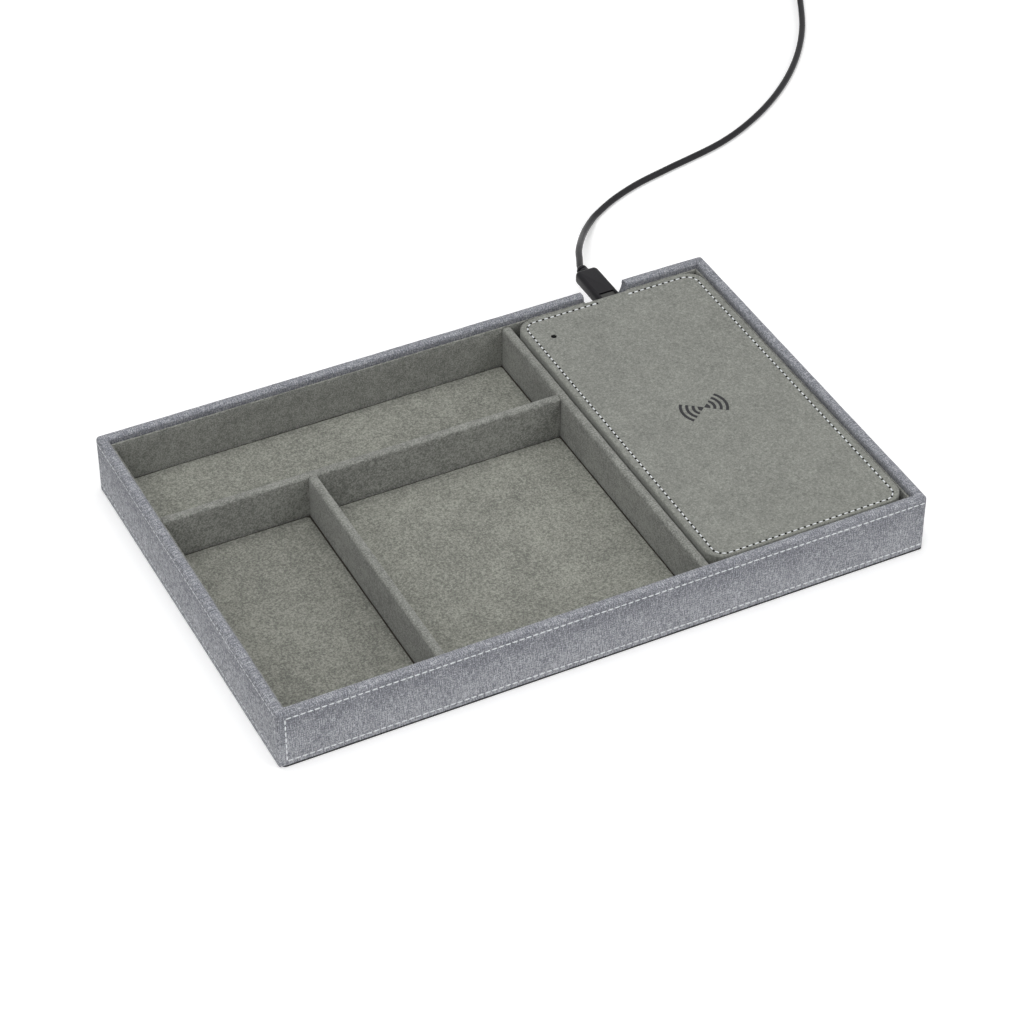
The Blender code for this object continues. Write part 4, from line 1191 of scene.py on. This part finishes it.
def make_sky():
    """Even light from all round, behind a plain white backdrop."""
    world = bpy.data.worlds.new("studio")
    scene.world = world
    world.use_nodes = True
    tree = world.node_tree
    background = tree.nodes["Background"]
    background.inputs["Color"].default_value = (1, 1, 1, 1)
    path = tree.nodes.new("ShaderNodeLightPath")
    strength = tree.nodes.new("ShaderNodeMapRange")
    strength.inputs["To Min"].default_value = SKY_LIGHT
    strength.inputs["To Max"].default_value = 1.0
    seen = path.outputs[SEEN_RAYS[0]]
    for ray in SEEN_RAYS[1:]:
        either = tree.nodes.new("ShaderNodeMath")
        either.operation = "MAXIMUM"
        tree.links.new(seen, either.inputs[0])
        tree.links.new(path.outputs[ray], either.inputs[1])
        seen = either.outputs[0]
    tree.links.new(seen, strength.inputs["Value"])
    tree.links.new(strength.outputs["Result"], background.inputs["Strength"])


def make_lamps():
    for name, place, size, power in LAMPS:
        lamp = bpy.data.lights.new(name, "AREA")
        lamp.size = size
        lamp.energy = power
        holder = linked(name, lamp)
        holder.location = place
        holder.rotation_euler = (-place).to_track_quat("-Z", "Y").to_euler()


def dress_nodes(finishes):
    """Every CAD node that still shows gets its finish."""
    for node, finish in finishes.items():
        for slot in nodes[node].material_slots:
            slot.material = finish


def main():
    make_camera()
    jacket, strap = cord_jacket(), hook_and_loop()
    grip, steel = moulded("grip_plastic", (0.0080, 0.0074, 0.0095), 0.38), brushed_steel()
    cord, points = make_cord(jacket)
    usb_c = make_usb_c_grip(grip)
    inset = make_usb_c_inset(moulded("inset_plastic", (0.062, 0.062, 0.060), 0.55))
    usb_a = make_usb_a_plug(grip, steel, gold_contacts(), points[-1])
    tie = make_tie(strap)

    linen = heather_linen()
    nap = suede("tray_suede", (0.219, 0.223, 0.193), 1.25)
    # The tray suede made darker for the small floor: painted shade for the shade of its walls
    shaded_small_nap = suede("small_tray_suede", (0.197, 0.200, 0.173), 1.35)
    # The tray suede made darker and cooler for the upright walls and dividers: painted shade
    shaded_wall_nap = suede("shaded_wall_suede", (0.210, 0.214, 0.195), 1.25)
    pad_nap = suede("pad_suede", (0.214, 0.220, 0.197), 0.8)
    white = thread()
    make_cover(linen)
    make_underside(pebbled_sheet())
    make_linings(shaded_wall_nap)
    make_floors({"pen_tray_floor": nap, "small_tray_floor": shaded_small_nap, "middle_tray_floor": nap})
    make_dividers(shaded_wall_nap)
    make_pad_cover(pad_nap)
    make_cover_stitches(white)
    make_pad_stitches(white, painted_hole_shade())
    make_sign(pressed_mark())

    board, black_board = pressed_board("grey_board", 1.0), pressed_board("black_board", 0.12)
    casing, feet = moulded("casing_plastic", (0.030, 0.030, 0.032), 0.48), rubber()
    finishes = {f"{side}_wall_board": board for side in ("front", "back", "left", "right")}
    finishes |= {f"{name}_divider_core": board for name in ("long", "cross", "short")}
    finishes |= {f"riser_{name}": black_board for name in ("board", "rail_left", "rail_right")}
    finishes |= {f"pad_screw_{number}": steel for number in range(1, 5)}
    finishes |= {f"pad_foot_{number}": feet for number in range(1, 5)}
    finishes |= {
        "base_board": black_board,
        "pad_upper_shell": casing,
        "pad_lower_shell": casing,
        "pad_circuit": circuit_board(CIRCUIT_CENTRE),
        "charging_coil": wound_copper(COIL_CENTRE),
        "ferrite_plate": ferrite(),
        "usb_c_socket": steel,
        "usb_c_shell": steel,
        "status_light_pipe": smoked_lens(),
        "usb_a_tongue": white_insulator(),
    }
    dress_nodes(finishes)
    make_table()
    make_sky()
    make_lamps()
    scene.view_settings.view_transform = "Standard"


main()
